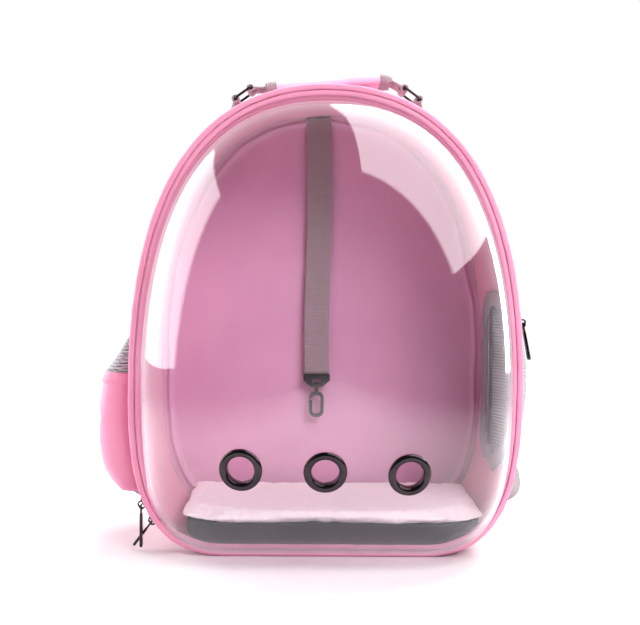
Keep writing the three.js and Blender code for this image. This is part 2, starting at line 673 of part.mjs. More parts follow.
function doorRing(widthIn, widthOut, outs) {
  const wide = doorLoop(DOOR_HALF_DEPTH + widthOut, DOOR_HALF_HEIGHT + widthOut);
  const narrow = doorLoop(DOOR_HALF_DEPTH - widthIn, DOOR_HALF_HEIGHT - widthIn);
  const section = [[wide, outs[0]], [wide, outs[1]], [narrow, outs[1]], [narrow, outs[0]]];
  return skin(section.map(([loop, out]) => loop.map(({ y, z }) => onWall(1, y, z, out))), true);
}

const FRAME_OUT = WALL_GAP + DOOR_FRAME_THICKNESS;
const frameHalf = DOOR_FRAME_WIDTH / 2;
add("window_frame", doorRing(frameHalf, frameHalf, [WALL_GAP, FRAME_OUT]), "greyCloth");
const BINDING_OUT = [-(CLOTH + WALL_GAP + BINDING_THICKNESS), -(CLOTH + WALL_GAP)];
const bindingIn = BINDING_WIDTH * BINDING_INSIDE;
add("window_binding", doorRing(bindingIn, BINDING_WIDTH - bindingIn, BINDING_OUT), "greyCloth");

function doorMesh() {
  const edge = DOOR_FRAME_WIDTH * DOOR_MESH_OVERLAP;
  const bulge = (size) => FRAME_OUT + GAP + DOOR_BULGE * (1 - size ** DOOR_BULGE_POWER);
  const row = (size, deep) => doorLoop(
    (DOOR_HALF_DEPTH - edge) * size, (DOOR_HALF_HEIGHT - edge) * size,
  ).map(({ y, z }) => onWall(1, y, z, bulge(size) + deep));
  const outer = DOOR_MESH_SIZES.map((size) => row(size, MESH_THICKNESS));
  const inner = DOOR_MESH_SIZES.map((size) => row(size, 0)).reverse();
  return skin([...outer, ...inner]);
}
add("window_mesh", doorMesh(), "greyMesh");

// Pocket

const pocketRow = (z, reach, halfDepth, base) => Array.from({ length: POCKET_STEPS + 1 }, (_, i) => {
  const angle = (Math.PI * i) / POCKET_STEPS;
  const bend = (value, power) => Math.sign(value) * Math.abs(value) ** power;
  const y = POCKET_PLACE - halfDepth * bend(Math.cos(angle), POCKET_ROUND.depth);
  return onWall(-1, y, z, base + (reach - base) * bend(Math.sin(angle), POCKET_ROUND.reach));
});

function pocketBody(shrink, base, from, to) {
  return skin(POCKET_ROWS.map(({ up, reach, depth }, i) => {
    const z = POCKET_BOTTOM + up * POCKET_HEIGHT;
    const height = i === 0 ? z + from : i === POCKET_ROWS.length - 1 ? z + to : z;
    return pocketRow(height, POCKET_REACH * reach - shrink, POCKET_HALF_DEPTH * depth - shrink, base);
  }));
}
const pocketHollow = pocketBody(POCKET_CLOTH, -POCKET_CLOTH, POCKET_CLOTH, POCKET_CLOTH);
add("pocket", cut(pocketBody(0, POCKET_GAP, 0, 0), pocketHollow), "pinkCloth");

function pocketMesh() {
  const last = POCKET_ROWS[POCKET_ROWS.length - 1];
  const bottom = POCKET_BOTTOM + POCKET_HEIGHT + GAP;
  const row = (share, deep) => pocketRow(
    bottom + share * POCKET_MESH_HEIGHT,
    THREE.MathUtils.lerp(POCKET_REACH * last.reach, MESH_THICKNESS + 2 * WALL_GAP, share) - deep,
    POCKET_HALF_DEPTH * last.depth * (1 - POCKET_MESH_NARROWING * share) - deep,
    deep ? -MESH_THICKNESS : WALL_GAP,
  );
  const outer = skin(POCKET_MESH_ROWS.outer.map((share) => row(share, 0)));
  const inner = skin(POCKET_MESH_ROWS.inner.map((share) => row(share, MESH_THICKNESS)));
  return cut(outer, inner);
}
add("pocket_mesh", pocketMesh(), "greyMesh");

// Pad: its underside follows the gusset's rounded bottom corners

function floorAt(x) {
  const inset = ZIP_INSET + ZIP_THICKNESS + GAP;
  const inner = OUTLINE.map(({ point, normal }) => new THREE.Vector2(
    point.x - normal.x * inset, point.y - normal.y * inset,
  )).filter((point) => point.y < BAG_HEIGHT * OUTLINE_CURVES[0].end[1]);
  const sorted = inner.sort((a, b) => a.x - b.x);
  for (let i = 0; i < sorted.length - 1; i += 1) {
    const [near, far] = [sorted[i], sorted[i + 1]];
    if (x >= near.x && x <= far.x) return THREE.MathUtils.mapLinear(x, near.x, far.x, near.y, far.y);
  }
  return PAD_TOP;
}

function padSlab(low, high, y, width) {
  const turn = (Math.PI / 2) * PAD_BUNCHING;
  const reach = ((PAD_WIDTH / 2) * width) / Math.sin(turn);
  const xs = Array.from({ length: PAD_COLUMNS + 1 }, (_, i) => (
    PAD_SHIFT + reach * Math.sin(((i / PAD_COLUMNS) * 2 - 1) * turn)
  ));
  return [
    ...xs.map((x) => new THREE.Vector3(x, y, low(x))),
    ...[...xs].reverse().map((x) => new THREE.Vector3(x, y, high(x))),
  ];
}

const backNarrowing = drawIn(GUSSET_END).x;
const padRise = (x) => PAD_EDGE_RISE * Math.abs((x - PAD_SHIFT) / (PAD_WIDTH / 2)) ** PAD_EDGE_POWER;
const foamTop = (x) => PAD_TOP - PAD_PLUSH + padRise(x);
const foamBottom = (x) => floorAt(x / backNarrowing) + WALL_GAP;
function pad(low, high) {
  return skin(PAD_ROWS.map(({ along, width }) => (
    padSlab(low, high, ZIP_START + along * PAD_DEPTH, width)
  )));
}
add("pad_base", pad(foamBottom, foamTop), "darkCloth");
add("pad_top", pad((x) => foamTop(x) + GAP, (x) => foamTop(x) + GAP + PAD_PLUSH), "palePlush");

// Leash: webbing sewn at the top of the back, a swivel end and a snap hook

const acrossBag = () => new THREE.Vector3(1, 0, 0);
const LEASH_Y = GUSSET_END - LEASH_STAND_OFF;
const LEASH_TOP = (BAG_HEIGHT - CLOTH - GAP) * drawIn(LEASH_Y).z - LEASH_HEAD_ROOM;
const LEASH_END = LEASH_TOP - LEASH_LENGTH;
const leashPath = LEASH_POINTS.map((share) => new THREE.Vector3(
  LEASH_PLACE, LEASH_Y + (GUSSET_END - WEBBING / 2 - LEASH_Y) * (1 - share) ** LEASH_BEND,
  LEASH_TOP - share * LEASH_LENGTH,
));
const leashBand = { width: LEASH_WIDTH, thickness: WEBBING, across: acrossBag };
add("leash", strip(leashPath, leashBand), "greyWebbing");

const SWIVEL_TOP = LEASH_END - GAP;
function swivelEnd() {
  const half = SWIVEL_OUTLINE.map(({ wide, down }) => (
    new THREE.Vector2(wide * SWIVEL_HALF_WIDTH, -down * SWIVEL_HEIGHT)
  ));
  const mirrored = half.map(({ x, y }) => new THREE.Vector2(-x, y)).reverse();
  const shape = new THREE.Shape([...half, ...mirrored]);
  const { width, height, corner } = SWIVEL_WINDOW;
  const middle = SWIVEL_BAR - SWIVEL_HEIGHT + height / 2;
  shape.holes.push(rounded(new THREE.Path(), width / 2, height / 2, corner, 0, middle));
  const radius = SWIVEL_RADIUS + SWIVEL_CLEARANCE;
  const hole = upright(radius, -SWIVEL_HEIGHT - SWIVEL_BAR, 2 * SWIVEL_BAR - SWIVEL_HEIGHT);
  return cut(facingPlate(shape, 2 * (radius + SWIVEL_WALL)), hole);
}

function snapHook() {
  const bow = (path, inset) => {
    const half = HOOK_HALF_WIDTH - inset;
    const middle = -HOOK_NECK - HOOK_HEIGHT / 2;
    return rounded(path, half, HOOK_HEIGHT / 2 - inset, half * HOOK_ROUND, 0, middle);
  };
  const shape = bow(new THREE.Shape(), 0);
  shape.holes.push(bow(new THREE.Path(), HOOK_WIRE));
  const gate = new THREE.BoxGeometry(2 * HOOK_WIRE, 2 * HOOK_THICKNESS, HOOK_GATE.gap)
    .rotateY(-HOOK_GATE.tilt)
    .translate(HOOK_WIRE / 2 - HOOK_HALF_WIDTH, 0, -HOOK_NECK - HOOK_HEIGHT * HOOK_GATE.down);
  const headFrom = SWIVEL_BAR + SWIVEL_HEAD.from;
  const headTo = headFrom + SWIVEL_HEAD.height;
  const stem = upright(SWIVEL_RADIUS, -HOOK_NECK - HOOK_STEM_ROOT, (headFrom + headTo) / 2);
  const head = upright(SWIVEL_HEAD.radius, headFrom, headTo);
  return cut(join(facingPlate(shape, HOOK_THICKNESS), stem, head), gate);
}
const swivel = add("leash_loop", swivelEnd(), "blackPlastic");
swivel.position.set(LEASH_PLACE, LEASH_Y, SWIVEL_TOP);
const hook = add("leash_hook", snapHook(), "blackPlastic");
hook.position.set(LEASH_PLACE, LEASH_Y, SWIVEL_TOP - SWIVEL_HEIGHT - GAP);

// Top handle: webbing sewn down at both ends, with a padded sleeve round its middle

const down = new THREE.Vector3(0, 0, -1);
const gussetTop = (x) => hit(gussetMesh, new THREE.Vector3(x, 0, 2 * BAG_HEIGHT), down).z;
const handleCurve = new THREE.CatmullRomCurve3(HANDLE_ROWS.map(({ across, rise }) => (
  new THREE.Vector3((across * HANDLE_LENGTH) / 2, 0, BAG_HEIGHT + rise)
)));
const alongBag = () => new THREE.Vector3(0, 1, 0);

// The loop of webbing round a ring's bar, as wide as the webbing
function webbingEye(x, z) {
  const shape = new THREE.Shape();
  shape.absarc(0, 0, LOOP_HOLE + WEBBING, 0, Math.PI * 2, false);
  const hole = new THREE.Path();
  hole.absarc(0, 0, LOOP_HOLE, 0, Math.PI * 2, false);
  shape.holes.push(hole);
  return facingPlate(shape, HANDLE_WIDTH, 5).translate(x, 0, z);
}

// The room for a ring's bar through such a loop
const ringBar = (x, z) => (
  new THREE.CylinderGeometry(LOOP_HOLE, LOOP_HOLE, HANDLE_WIDTH + 1, EYE_SIDES).translate(x, 0, z)
);

const handleEnds = [-1, 1].map((side) => {
  const row = HANDLE_ROWS[side < 0 ? 0 : HANDLE_ROWS.length - 1];
  return { x: (side * HANDLE_LENGTH) / 2, z: BAG_HEIGHT + row.rise };
});
const eyeShare = (LOOP_HOLE + WEBBING / 2) / HANDLE_LENGTH;
const handlePart = (from, to, steps) => Array.from({ length: steps + 1 }, (_, i) => (
  handleCurve.getPointAt(from + ((to - from) * i) / steps)
));
const handlePath = handlePart(eyeShare, 1 - eyeShare, HANDLE_STEPS);
const handleStrip = strip(handlePath, { width: HANDLE_WIDTH, thickness: WEBBING, across: alongBag });
const handleEyes = handleEnds.map(({ x, z }) => webbingEye(x, z));
const ringBars = handleEnds.map(({ x, z }) => ringBar(x, z));
add("handle_webbing", cut(join(handleStrip, ...handleEyes), ...ringBars), "greyWebbing");

const padFrom = 0.5 - HANDLE_PAD_LENGTH / HANDLE_LENGTH / 2;
const sleeve = strip(handlePart(padFrom, 1 - padFrom, HANDLE_PAD_STEPS), {
  width: HANDLE_PAD_WIDTH, thickness: HANDLE_PAD_THICKNESS, across: alongBag, round: PADDED_ROUND,
});
const sleeveHollow = strip(handlePath, {
  width: HANDLE_WIDTH + 2 * GAP, thickness: WEBBING + 2 * GAP, across: alongBag,
});
add("handle_pad", cut(sleeve, sleeveHollow), "pinkCloth");

// Oblong rings between the handle and the loops on the gusset

function ringAt(from, to) {
  const half = HANDLE_WIDTH / 2 + RING_WIRE + 2 * GAP;
  const outline = rounded(new THREE.Path(), RING_LENGTH / 2, half, RING_WIRE);
  const slope = to.clone().sub(from).normalize();
  const flat = outline.getPoints(2).slice(0, -1);
  const middle = from.clone().add(to).multiplyScalar(1 / 2);
  const up = new THREE.Vector3(-slope.z, 0, slope.x);
  const points = flat.map(({ x, y }) => (
    middle.clone().addScaledVector(slope, x).addScaledVector(alongBag(), y)
  ));
  return skin(points.map((point, i) => {
    const next = points[(i + 1) % points.length];
    const along = next.clone().sub(points[(i + points.length - 1) % points.length]).normalize();
    const side = up.clone().cross(along).normalize();
    return Array.from({ length: RING_SIDES }, (_, k) => {
      const turn = (2 * Math.PI * k) / RING_SIDES;
      return point.clone().addScaledVector(side, (Math.cos(turn) * RING_WIRE) / 2)
        .addScaledVector(up, (Math.sin(turn) * RING_WIRE) / 2);
    });
  }), true);
}

handleEnds.forEach(({ x, z }, i) => {
  const label = ["left", "right"][i];
  const side = Math.sign(x);
  const fall = THREE.MathUtils.degToRad(RING_FALL);
  const from = new THREE.Vector3(x, 0, z);
  const to = from.clone();
  to.add(new THREE.Vector3(side * RING_LENGTH * Math.cos(fall), 0, -RING_LENGTH * Math.sin(fall)));
  add(`ring_${label}`, ringAt(from, to), "gunMetal");
  const seat = (share) => {
    const along = to.x + side * (LOOP_SPREAD + share * LOOP_FOOT);
    const rise = gussetTop(along - SEAT_REACH) - gussetTop(along + SEAT_REACH);
    const lift = (2 * WALL_GAP + WEBBING / 2) * Math.hypot(1, rise / (2 * SEAT_REACH));
    return new THREE.Vector3(along, 0, gussetTop(along) + lift);
  };
  const eyeFoot = new THREE.Vector3(
    to.x + side * LOOP_HOLE * LOOP_START, 0, to.z - LOOP_HOLE - WEBBING / 2,
  );
  const footBand = { width: HANDLE_WIDTH, thickness: WEBBING, across: alongBag };
  const foot = strip([eyeFoot, ...LOOP_SHARES.map(seat)], footBand);
  const loop = cut(join(foot, webbingEye(to.x, to.z)), ringBar(to.x, to.z));
  add(`ring_loop_${label}`, loop, "greyWebbing");
});

// Shoulder straps at the back: padded part, adjuster, the loop that holds it and the lower webbing

const BACK_EDGE = GUSSET_END + GAP + BACK_PANEL_THICKNESS;
const strapPoint = ([across, up, behind]) => (
  new THREE.Vector3(across * HALF_WIDTH, BACK_EDGE + behind * GUSSET_DEPTH, up * BAG_HEIGHT)
);
const nearX = (along) => new THREE.Vector3(1, 0, 0).addScaledVector(along, -along.x);
const smoothPath = (points, steps) => (
  new THREE.CatmullRomCurve3(points, false, "centripetal").getSpacedPoints(steps)
);

const ADJUSTER_PITCH = ADJUSTER_BAR + ADJUSTER_SLOT;
const STRAP_EYE = Math.hypot(ADJUSTER_BAR, ADJUSTER_THICKNESS) / 2 + GAP;

// Three bars with two slots between them. It lies in the x and z plane, its top bar at +z.
function adjuster() {
  const halfHeight = ADJUSTER_PITCH + ADJUSTER_BAR / 2;
  const shape = rounded(new THREE.Shape(), ADJUSTER_WIDTH / 2, halfHeight, ADJUSTER_CORNER);
  const slotHalf = STRAP_WEBBING_WIDTH / 2 + GAP;
  for (const middle of [-ADJUSTER_PITCH / 2, ADJUSTER_PITCH / 2]) {
    const slot = rounded(new THREE.Path(), slotHalf, ADJUSTER_SLOT / 2, SLOT_CORNER, 0, middle);
    shape.holes.push(slot);
  }
  return facingPlate(shape, ADJUSTER_THICKNESS, 3);
}

function strapEye(height) {
  const shape = new THREE.Shape();
  shape.absarc(0, height, STRAP_EYE + WEBBING, 0, Math.PI * 2, false);
  return uprightPlate(shape, STRAP_WEBBING_WIDTH);
}

function strapHole(height) {
  const shape = new THREE.Shape();
  shape.absarc(0, height, STRAP_EYE, 0, Math.PI * 2, false);
  return uprightPlate(shape, STRAP_WEBBING_WIDTH + 1);
}

// A strap's padded part keeps its width and narrows at both ends.
function strapWidth(share) {
  const past = Math.max(0, (Math.abs(share - 0.5) - STRAP_FULL) / (0.5 - STRAP_FULL));
  return STRAP_WIDTH * Math.sqrt(1 - STRAP_NARROWING * past ** 2);
}

for (const side of ["left", "right"]) {
  const route = STRAP_ROUTES[side];
  const padPath = smoothPath(route.pad.map(strapPoint), STRAP_STEPS.pad);
  add(`strap_${side}`, strip(padPath, {
    width: strapWidth, thickness: STRAP_THICKNESS, across: nearX, round: PADDED_ROUND,
    ends: STRAP_END_THICKNESS,
  }), "greyCloth");

  const [at, end] = route.adjuster.map(strapPoint);
  const fall = end.clone().sub(at).normalize();
  const across = nearX(fall).normalize().multiplyScalar(-Math.sign(fall.z)); // the tail lies outside
  const out = across.clone().cross(fall);
  const basis = new THREE.Matrix4().makeBasis(across, out, fall.clone().negate());
  basis.setPosition(at);
  const place = (geometry) => geometry.applyMatrix4(basis);
  const local = (x, y, z) => new THREE.Vector3(x, y, z).applyMatrix4(basis);
  add(`adjuster_${side}`, place(adjuster()), "blackPlastic");

  const ring = STRAP_EYE + WEBBING / 2;
  const padEnd = padPath[padPath.length - 1];
  const beforeEnd = padPath[padPath.length - 2];
  const leave = padEnd.clone().sub(beforeEnd).normalize();
  const reach = STRAP_LOOP_STARTS[side];
  const [start, next] = [reach, 3 * reach].map((by) => padEnd.clone().addScaledVector(leave, by));
  const loopEnd = local(0, 0, ADJUSTER_PITCH + ring);
  const loop = strip(smoothPath([start, next, loopEnd], STRAP_STEPS.loop), {
    width: STRAP_WEBBING_WIDTH, thickness: 2 * WEBBING, across: nearX,
  });
  const [topEye, topHole] = [strapEye, strapHole].map((make) => place(make(ADJUSTER_PITCH)));
  add(`strap_loop_${side}`, cut(join(topEye, loop), topHole), "greyWebbing");

  const over = [0, ADJUSTER_PITCH + ADJUSTER_BAR].map((by) => local(0, -ring, -by));
  const lowPath = smoothPath([...over, ...route.webbing.map(strapPoint)], STRAP_STEPS.webbing);
  const tailPath = [0, ADJUSTER_PITCH, STRAP_TAIL].map((by) => local(0, ring, -by));
  const strips = [lowPath, tailPath].map((path) => (
    strip(path, { width: STRAP_WEBBING_WIDTH, thickness: WEBBING, across: nearX })
  ));
  const [eye, hole] = [strapEye, strapHole].map((make) => place(make(0)));
  add(`strap_webbing_${side}`, cut(join(eye, ...strips), hole), "greyWebbing");
}

// Zip sliders and pulls. A slider lies along x, its width along y, and its crown rises along z.

const CROWN_TOP = SLIDER_THICKNESS + CROWN_HOLE_HEIGHT + CROWN_WALL;
const PULL_AXIS = SLIDER_THICKNESS + CROWN_HOLE_HEIGHT / 2;
const PULL_HALF_WIDTH = CROWN_WIDTH / 2 + GAP + PULL_ARM;

function slider(offset) {
  const half = SLIDER_OUTLINE.map(({ along, across }) => (
    new THREE.Vector2((along * SLIDER_LENGTH) / 2, (-across * SLIDER_WIDTH) / 2)
  ));
  const mirrored = half.map(({ x, y }) => new THREE.Vector2(x, -y)).reverse();
  const outline = new THREE.Shape([...half, ...mirrored]);
  const body = new THREE.ExtrudeGeometry(outline, { depth: SLIDER_THICKNESS, bevelEnabled: false });
  const inner = CROWN_HOLE_LENGTH / 2;
  const legs = inner + CROWN_WALL;
  const [base, shoulder] = [SLIDER_THICKNESS * CROWN_ROOT, CROWN_TOP - CROWN_SHOULDER];
  const arch = new THREE.Shape([
    [-legs, base], [-legs, shoulder], [-inner, CROWN_TOP],
    [inner, CROWN_TOP], [legs, shoulder], [legs, base],
  ].map(([x, y]) => new THREE.Vector2(x, y)));
  const hole = rounded(new THREE.Path(), inner, CROWN_HOLE_HEIGHT / 2, CROWN_HOLE_CORNER, 0, PULL_AXIS);
  arch.holes.push(hole);
  const crown = new THREE.ExtrudeGeometry(
    arch, { depth: CROWN_WIDTH, bevelEnabled: false, curveSegments: 2 },
  );
  crown.translate(0, 0, -CROWN_WIDTH / 2).rotateX(Math.PI / 2).translate(0, offset, 0);
  return join(body, crown);
}

function pull(length, endHalfWidth) {
  const top = PULL_BAR / 2;
  const endStart = -length + endHalfWidth * PULL_END;
  const shape = new THREE.Shape();
  shape.moveTo(-PULL_HALF_WIDTH, top);
  shape.lineTo(-PULL_HALF_WIDTH, -length * PULL_TAPER);
  shape.lineTo(-endHalfWidth, endStart);
  shape.quadraticCurveTo(-endHalfWidth, -length, 0, -length);
  shape.quadraticCurveTo(endHalfWidth, -length, endHalfWidth, endStart);
  shape.lineTo(PULL_HALF_WIDTH, -length * PULL_TAPER);
  shape.lineTo(PULL_HALF_WIDTH, top);
  const eyeHalf = CROWN_WIDTH / 2 + GAP;
  const reach = CROWN_HOLE_LENGTH / 2 + CROWN_WALL + PULL_EYE_ROOM;
  const eye = new THREE.Path([
    [-eyeHalf, -top], [eyeHalf, -top], [eyeHalf, -reach], [-eyeHalf, -reach],
  ].map(([x, y]) => new THREE.Vector2(x, y)));
  const gripHalf = endHalfWidth - PULL_ARM;
  const gripMiddle = -length + PULL_ARM + GRIP_HALF_HEIGHT;
  const grip = rounded(
    new THREE.Path(), gripHalf, GRIP_HALF_HEIGHT, gripHalf * GRIP_ROUND, 0, gripMiddle,
  );
  shape.holes.push(eye, grip);
  return uprightPlate(shape, PULL_THICKNESS);
}

// Sets a slider on a surface point and hangs its pull from the crown.
function zipPull({ point, normal, offset, names, length, endHalfWidth, swing }) {
  const group = new THREE.Group();
  group.position.copy(point);
  group.rotation.y = Math.atan2(normal.x, normal.z);
  carrier.add(group);
  add(names.slider, slider(offset), "gunMetal", group);
  const tab = add(names.pull, pull(length, endHalfWidth), "gunMetal");
  tab.position.copy(point).addScaledVector(normal, PULL_AXIS).add(new THREE.Vector3(0, offset, 0));
  tab.rotation.y = swing;
}

// A point on the left of the outline, at the zip's surface, and its outward direction
function zipSeat(height) {
  for (let i = 0; i < OUTLINE.length - 1; i += 1) {
    const [a, b] = [OUTLINE[i], OUTLINE[i + 1]];
    const between = (a.point.y - height) * (b.point.y - height) <= 0;
    if (a.point.x < 0 && between) {
      const share = (height - a.point.y) / (b.point.y - a.point.y);
      const at = a.point.clone().lerp(b.point, share);
      const edge = b.point.clone().sub(a.point).normalize();
      const turned = new THREE.Vector2(-edge.y, edge.x);
      const out = turned.x < 0 ? turned : turned.negate();
      const normal = new THREE.Vector3(out.x, 0, out.y);
      const point = new THREE.Vector3(at.x, ZIP_START + ZIP_DEPTH / 2, at.y);
      return { normal, point: point.addScaledVector(normal, FRONT_SLIDER_OUT) };
    }
  }
  return null;
}

zipPull({
  ...zipSeat(UPPER_SLIDER_HEIGHT), offset: -CROWN_OFFSET, length: UPPER_PULL_LENGTH,
  endHalfWidth: PULL_HALF_WIDTH, swing: 0, names: { slider: "zip_slider_upper", pull: "zip_pull_upper" },
});
zipPull({
  ...zipSeat(LOWER_SLIDER_HEIGHT), offset: CROWN_OFFSET, length: LOWER_PULL_LENGTH,
  endHalfWidth: PULL_HALF_WIDTH, swing: LOWER_PULL_SWING,
  names: { slider: "zip_slider_lower", pull: "zip_pull_lower" },
});

const frontShare = (1 - SIDE_SLIDER_RISE ** DOOR_ROUND) ** (1 / DOOR_ROUND);
const sidePlace = {
  y: DOOR_PLACE - (DOOR_HALF_DEPTH + DOOR_FRAME_WIDTH * SIDE_SLIDER_OUT) * frontShare,
  z: DOOR_HEIGHT + DOOR_HALF_HEIGHT * SIDE_SLIDER_RISE,
};
zipPull({
  point: onWall(1, sidePlace.y, sidePlace.z, FRAME_OUT + 4 * GAP), normal: new THREE.Vector3(1, 0, 0),
  offset: 0, length: SIDE_PULL_LENGTH, endHalfWidth: SIDE_PULL_HALF_WIDTH, swing: SIDE_PULL_SWING,
  names: { slider: "side_slider", pull: "side_pull" },
});

export default carrier;
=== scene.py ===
# %% [markdown]
# # A bubble pet carrier backpack
#
# The object is a small rucksack for a cat or a small dog. Its whole front is one clear dome with three
# metal vent rings, and the rest is sewn from pink cloth over foam.
# Every cell below makes one piece or one finish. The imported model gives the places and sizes, and this
# script gives the look: sewn edges, weave, stitches, gloss and light.

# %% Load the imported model
import json
import math

import bmesh
import bpy
import numpy as np
from mathutils import Matrix, Vector, noise


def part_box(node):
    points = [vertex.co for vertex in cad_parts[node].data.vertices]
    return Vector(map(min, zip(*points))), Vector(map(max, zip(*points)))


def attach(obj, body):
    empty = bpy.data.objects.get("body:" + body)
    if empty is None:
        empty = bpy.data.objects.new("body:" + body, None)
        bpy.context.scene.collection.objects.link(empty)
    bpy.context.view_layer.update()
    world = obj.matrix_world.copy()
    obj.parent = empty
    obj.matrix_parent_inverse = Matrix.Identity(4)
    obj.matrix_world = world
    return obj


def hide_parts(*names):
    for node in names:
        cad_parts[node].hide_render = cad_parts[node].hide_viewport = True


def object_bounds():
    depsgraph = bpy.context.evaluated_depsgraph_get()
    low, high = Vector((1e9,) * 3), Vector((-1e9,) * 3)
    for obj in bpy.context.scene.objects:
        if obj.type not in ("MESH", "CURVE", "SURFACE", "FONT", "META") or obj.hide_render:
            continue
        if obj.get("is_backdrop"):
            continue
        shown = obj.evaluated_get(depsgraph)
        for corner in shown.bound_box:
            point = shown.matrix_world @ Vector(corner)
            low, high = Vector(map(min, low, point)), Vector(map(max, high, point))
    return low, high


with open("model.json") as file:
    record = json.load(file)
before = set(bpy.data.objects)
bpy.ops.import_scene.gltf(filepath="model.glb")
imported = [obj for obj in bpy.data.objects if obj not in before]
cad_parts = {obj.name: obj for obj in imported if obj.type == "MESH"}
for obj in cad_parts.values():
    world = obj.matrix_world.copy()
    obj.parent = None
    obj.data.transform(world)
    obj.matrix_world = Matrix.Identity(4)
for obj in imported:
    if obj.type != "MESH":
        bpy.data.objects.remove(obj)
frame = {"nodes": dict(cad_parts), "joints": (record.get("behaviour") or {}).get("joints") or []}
cad_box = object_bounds()
scene = bpy.context.scene


def linked(name, data):
    """An object of the scene that holds this data, at the origin."""
    thing = bpy.data.objects.new(name, data)
    scene.collection.objects.link(thing)
    return thing


print("nodes:", len(frame["nodes"]), "box:", [round(v, 3) for v in (*cad_box[0], *cad_box[1])])

# %% [markdown]
# ## The camera
#
# A picture's perspective tells where the camera stood. Edges that run straight back meet at one
# point of the picture, and that point gives the camera's height and its place from side to side.
# A lens of 63 mm on a 36 mm sensor, one metre in front of the rim, gives the same narrowing
# towards the back as the photograph. The camera is turned a little instead of shifted.

# %% Camera
RIM_FRONT = -0.0825
CAMERA_PLACE = Vector((-0.0256, RIM_FRONT - 1.0, 0.2648))
PICTURE_WIDTH, FOCAL_LENGTH = 640, 1134  # in pixels
AIM_RIGHT, AIM_DOWN = 22, 53  # pixels from the point where the edges meet to the picture's middle
SENSOR_WIDTH = 36
ROLL = math.radians(0.6)  # the bag leans this much in the picture

camera = linked("camera", bpy.data.cameras.new("camera"))
camera.data.sensor_width = SENSOR_WIDTH
camera.data.lens = SENSOR_WIDTH * (FOCAL_LENGTH / PICTURE_WIDTH)
camera.data.clip_start = 0.01
camera.location = CAMERA_PLACE
turned = Matrix.Rotation(-math.atan(AIM_RIGHT / FOCAL_LENGTH), 3, "Z")
tilted = Matrix.Rotation(math.pi / 2 - math.atan(AIM_DOWN / FOCAL_LENGTH), 3, "X")
camera.rotation_euler = (turned @ tilted @ Matrix.Rotation(ROLL, 3, "Z")).to_euler()
scene.camera = camera
print("focal length", round(camera.data.lens, 1), "mm")

# %% [markdown]
# ## A small language for materials
#
# A material is a graph of nodes. Written node by node, the maths in it is hard to read.
# `add_node` makes one node of any tree, with its settings and with a value or a link for each input.
# `Signal` wraps one output socket, so that `mask * 0.5 + 1` in Python adds the Math nodes for it.
# `Finish` owns one material, and has a method for each node or group of nodes that is used often.

# %% Signal and Finish


def add_node(tree, kind, settings=None, inputs=None):
    """A node of a tree. An input gets a link when an output is given for it, and else a value."""
    node = tree.nodes.new(kind)
    for name, value in (settings or {}).items():
        setattr(node, name, value)
    for name, value in (inputs or {}).items():
        if isinstance(value, bpy.types.NodeSocket):
            tree.links.new(value, node.inputs[name])
        else:
            node.inputs[name].default_value = value
    return node


class Signal:
    """An output of a node, on which Python's own arithmetic works."""

    def __init__(self, finish, socket):
        self.finish, self.socket = finish, socket

    def __add__(self, other):
        return self.finish.maths("ADD", self, other)

    def __sub__(self, other):
        return self.finish.maths("SUBTRACT", self, other)

    def __mul__(self, other):
        return self.finish.maths("MULTIPLY", self, other)

    def __pow__(self, other):
        return self.finish.maths("POWER", self, other)


class Finish:
    """One material, built node by node."""

    def __init__(self, name):
        self.material = bpy.data.materials.new(name)
        self.material.use_nodes = True
        self.tree = self.material.node_tree
        self.tree.nodes.clear()

    def node(self, kind, settings=None, inputs=None, output=0):
        values = {name: getattr(value, "socket", value) for name, value in (inputs or {}).items()}
        node = add_node(self.tree, "ShaderNode" + kind, settings, values)
        return Signal(self, node.outputs[output]) if node.outputs else None

    def maths(self, operation, *values):
        return self.node("Math", {"operation": operation}, dict(enumerate(values)))

    def sine(self, value):
        return self.maths("SINE", value)

    def wave(self, value, length):
        """A sine wave along a value in metres. length is the wave's, in metres."""
        return self.sine(value * (2 * math.pi / length))

    def limited(self, value):
        return self.node("Clamp", None, {"Value": value})

    def place(self):
        """Object coordinates, in metres."""
        return self.node("TexCoord", output="Object")

    def thread(self):
        """The piece's own UV map, in metres along and across the cloth, as two signals."""
        uv = self.node("UVMap", {"uv_map": "thread"})
        outputs = self.node("SeparateXYZ", None, {0: uv}).socket.node.outputs
        return Signal(self, outputs[0]), Signal(self, outputs[1])

    def clouds(self, scale, detail=2.0):
        """Soft random patches. scale is how many fit in a metre."""
        return self.node("TexNoise", None, {"Vector": self.place(), "Scale": scale, "Detail": detail})

    def blend(self, factor, first, second):
        """A colour between two, by a factor."""
        return self.node("Mix", {"data_type": "RGBA"}, {0: factor, 6: first, 7: second}, output=2)

    def bump(self, height, depth):
        """A normal from a height signal. depth is the height's size in metres."""
        return self.node("Bump", None, {"Height": height, "Distance": depth, "Strength": 1.0})

    def principled(self, **inputs):
        names = {name.replace("_", " "): value for name, value in inputs.items()}
        return self.node("BsdfPrincipled", None, names)

    def done(self, shader):
        self.node("OutputMaterial", None, {"Surface": shader})
        return self.material


def tone(red, green, blue):
    """A colour from 0 to 255 screen values, as the linear one that Blender works in."""
    linear = [((v / 255 + 0.055) / 1.055) ** 2.4 if v > 10 else v / 3295 for v in (red, green, blue)]
    return (*linear, 1.0)


print("pink cloth is", [round(v, 3) for v in tone(243, 150, 184)])

# %% [markdown]
# ## Woven cloth
#
# The bag is Oxford cloth: a plain weave of thick threads, about 0.8 mm apart. Up close each thread
# goes over one and under the next, so the height is a product of two sine waves.
# The weave follows the cloth and not the room, so it reads a UV map in metres that every sewn
# piece below carries. Faint clouds change the colour a little, as dye and wear do, and the
# sheen gives the pale edge that cloth has when light grazes it.

# %% Cloth finishes
THREAD_PITCH = 0.0008


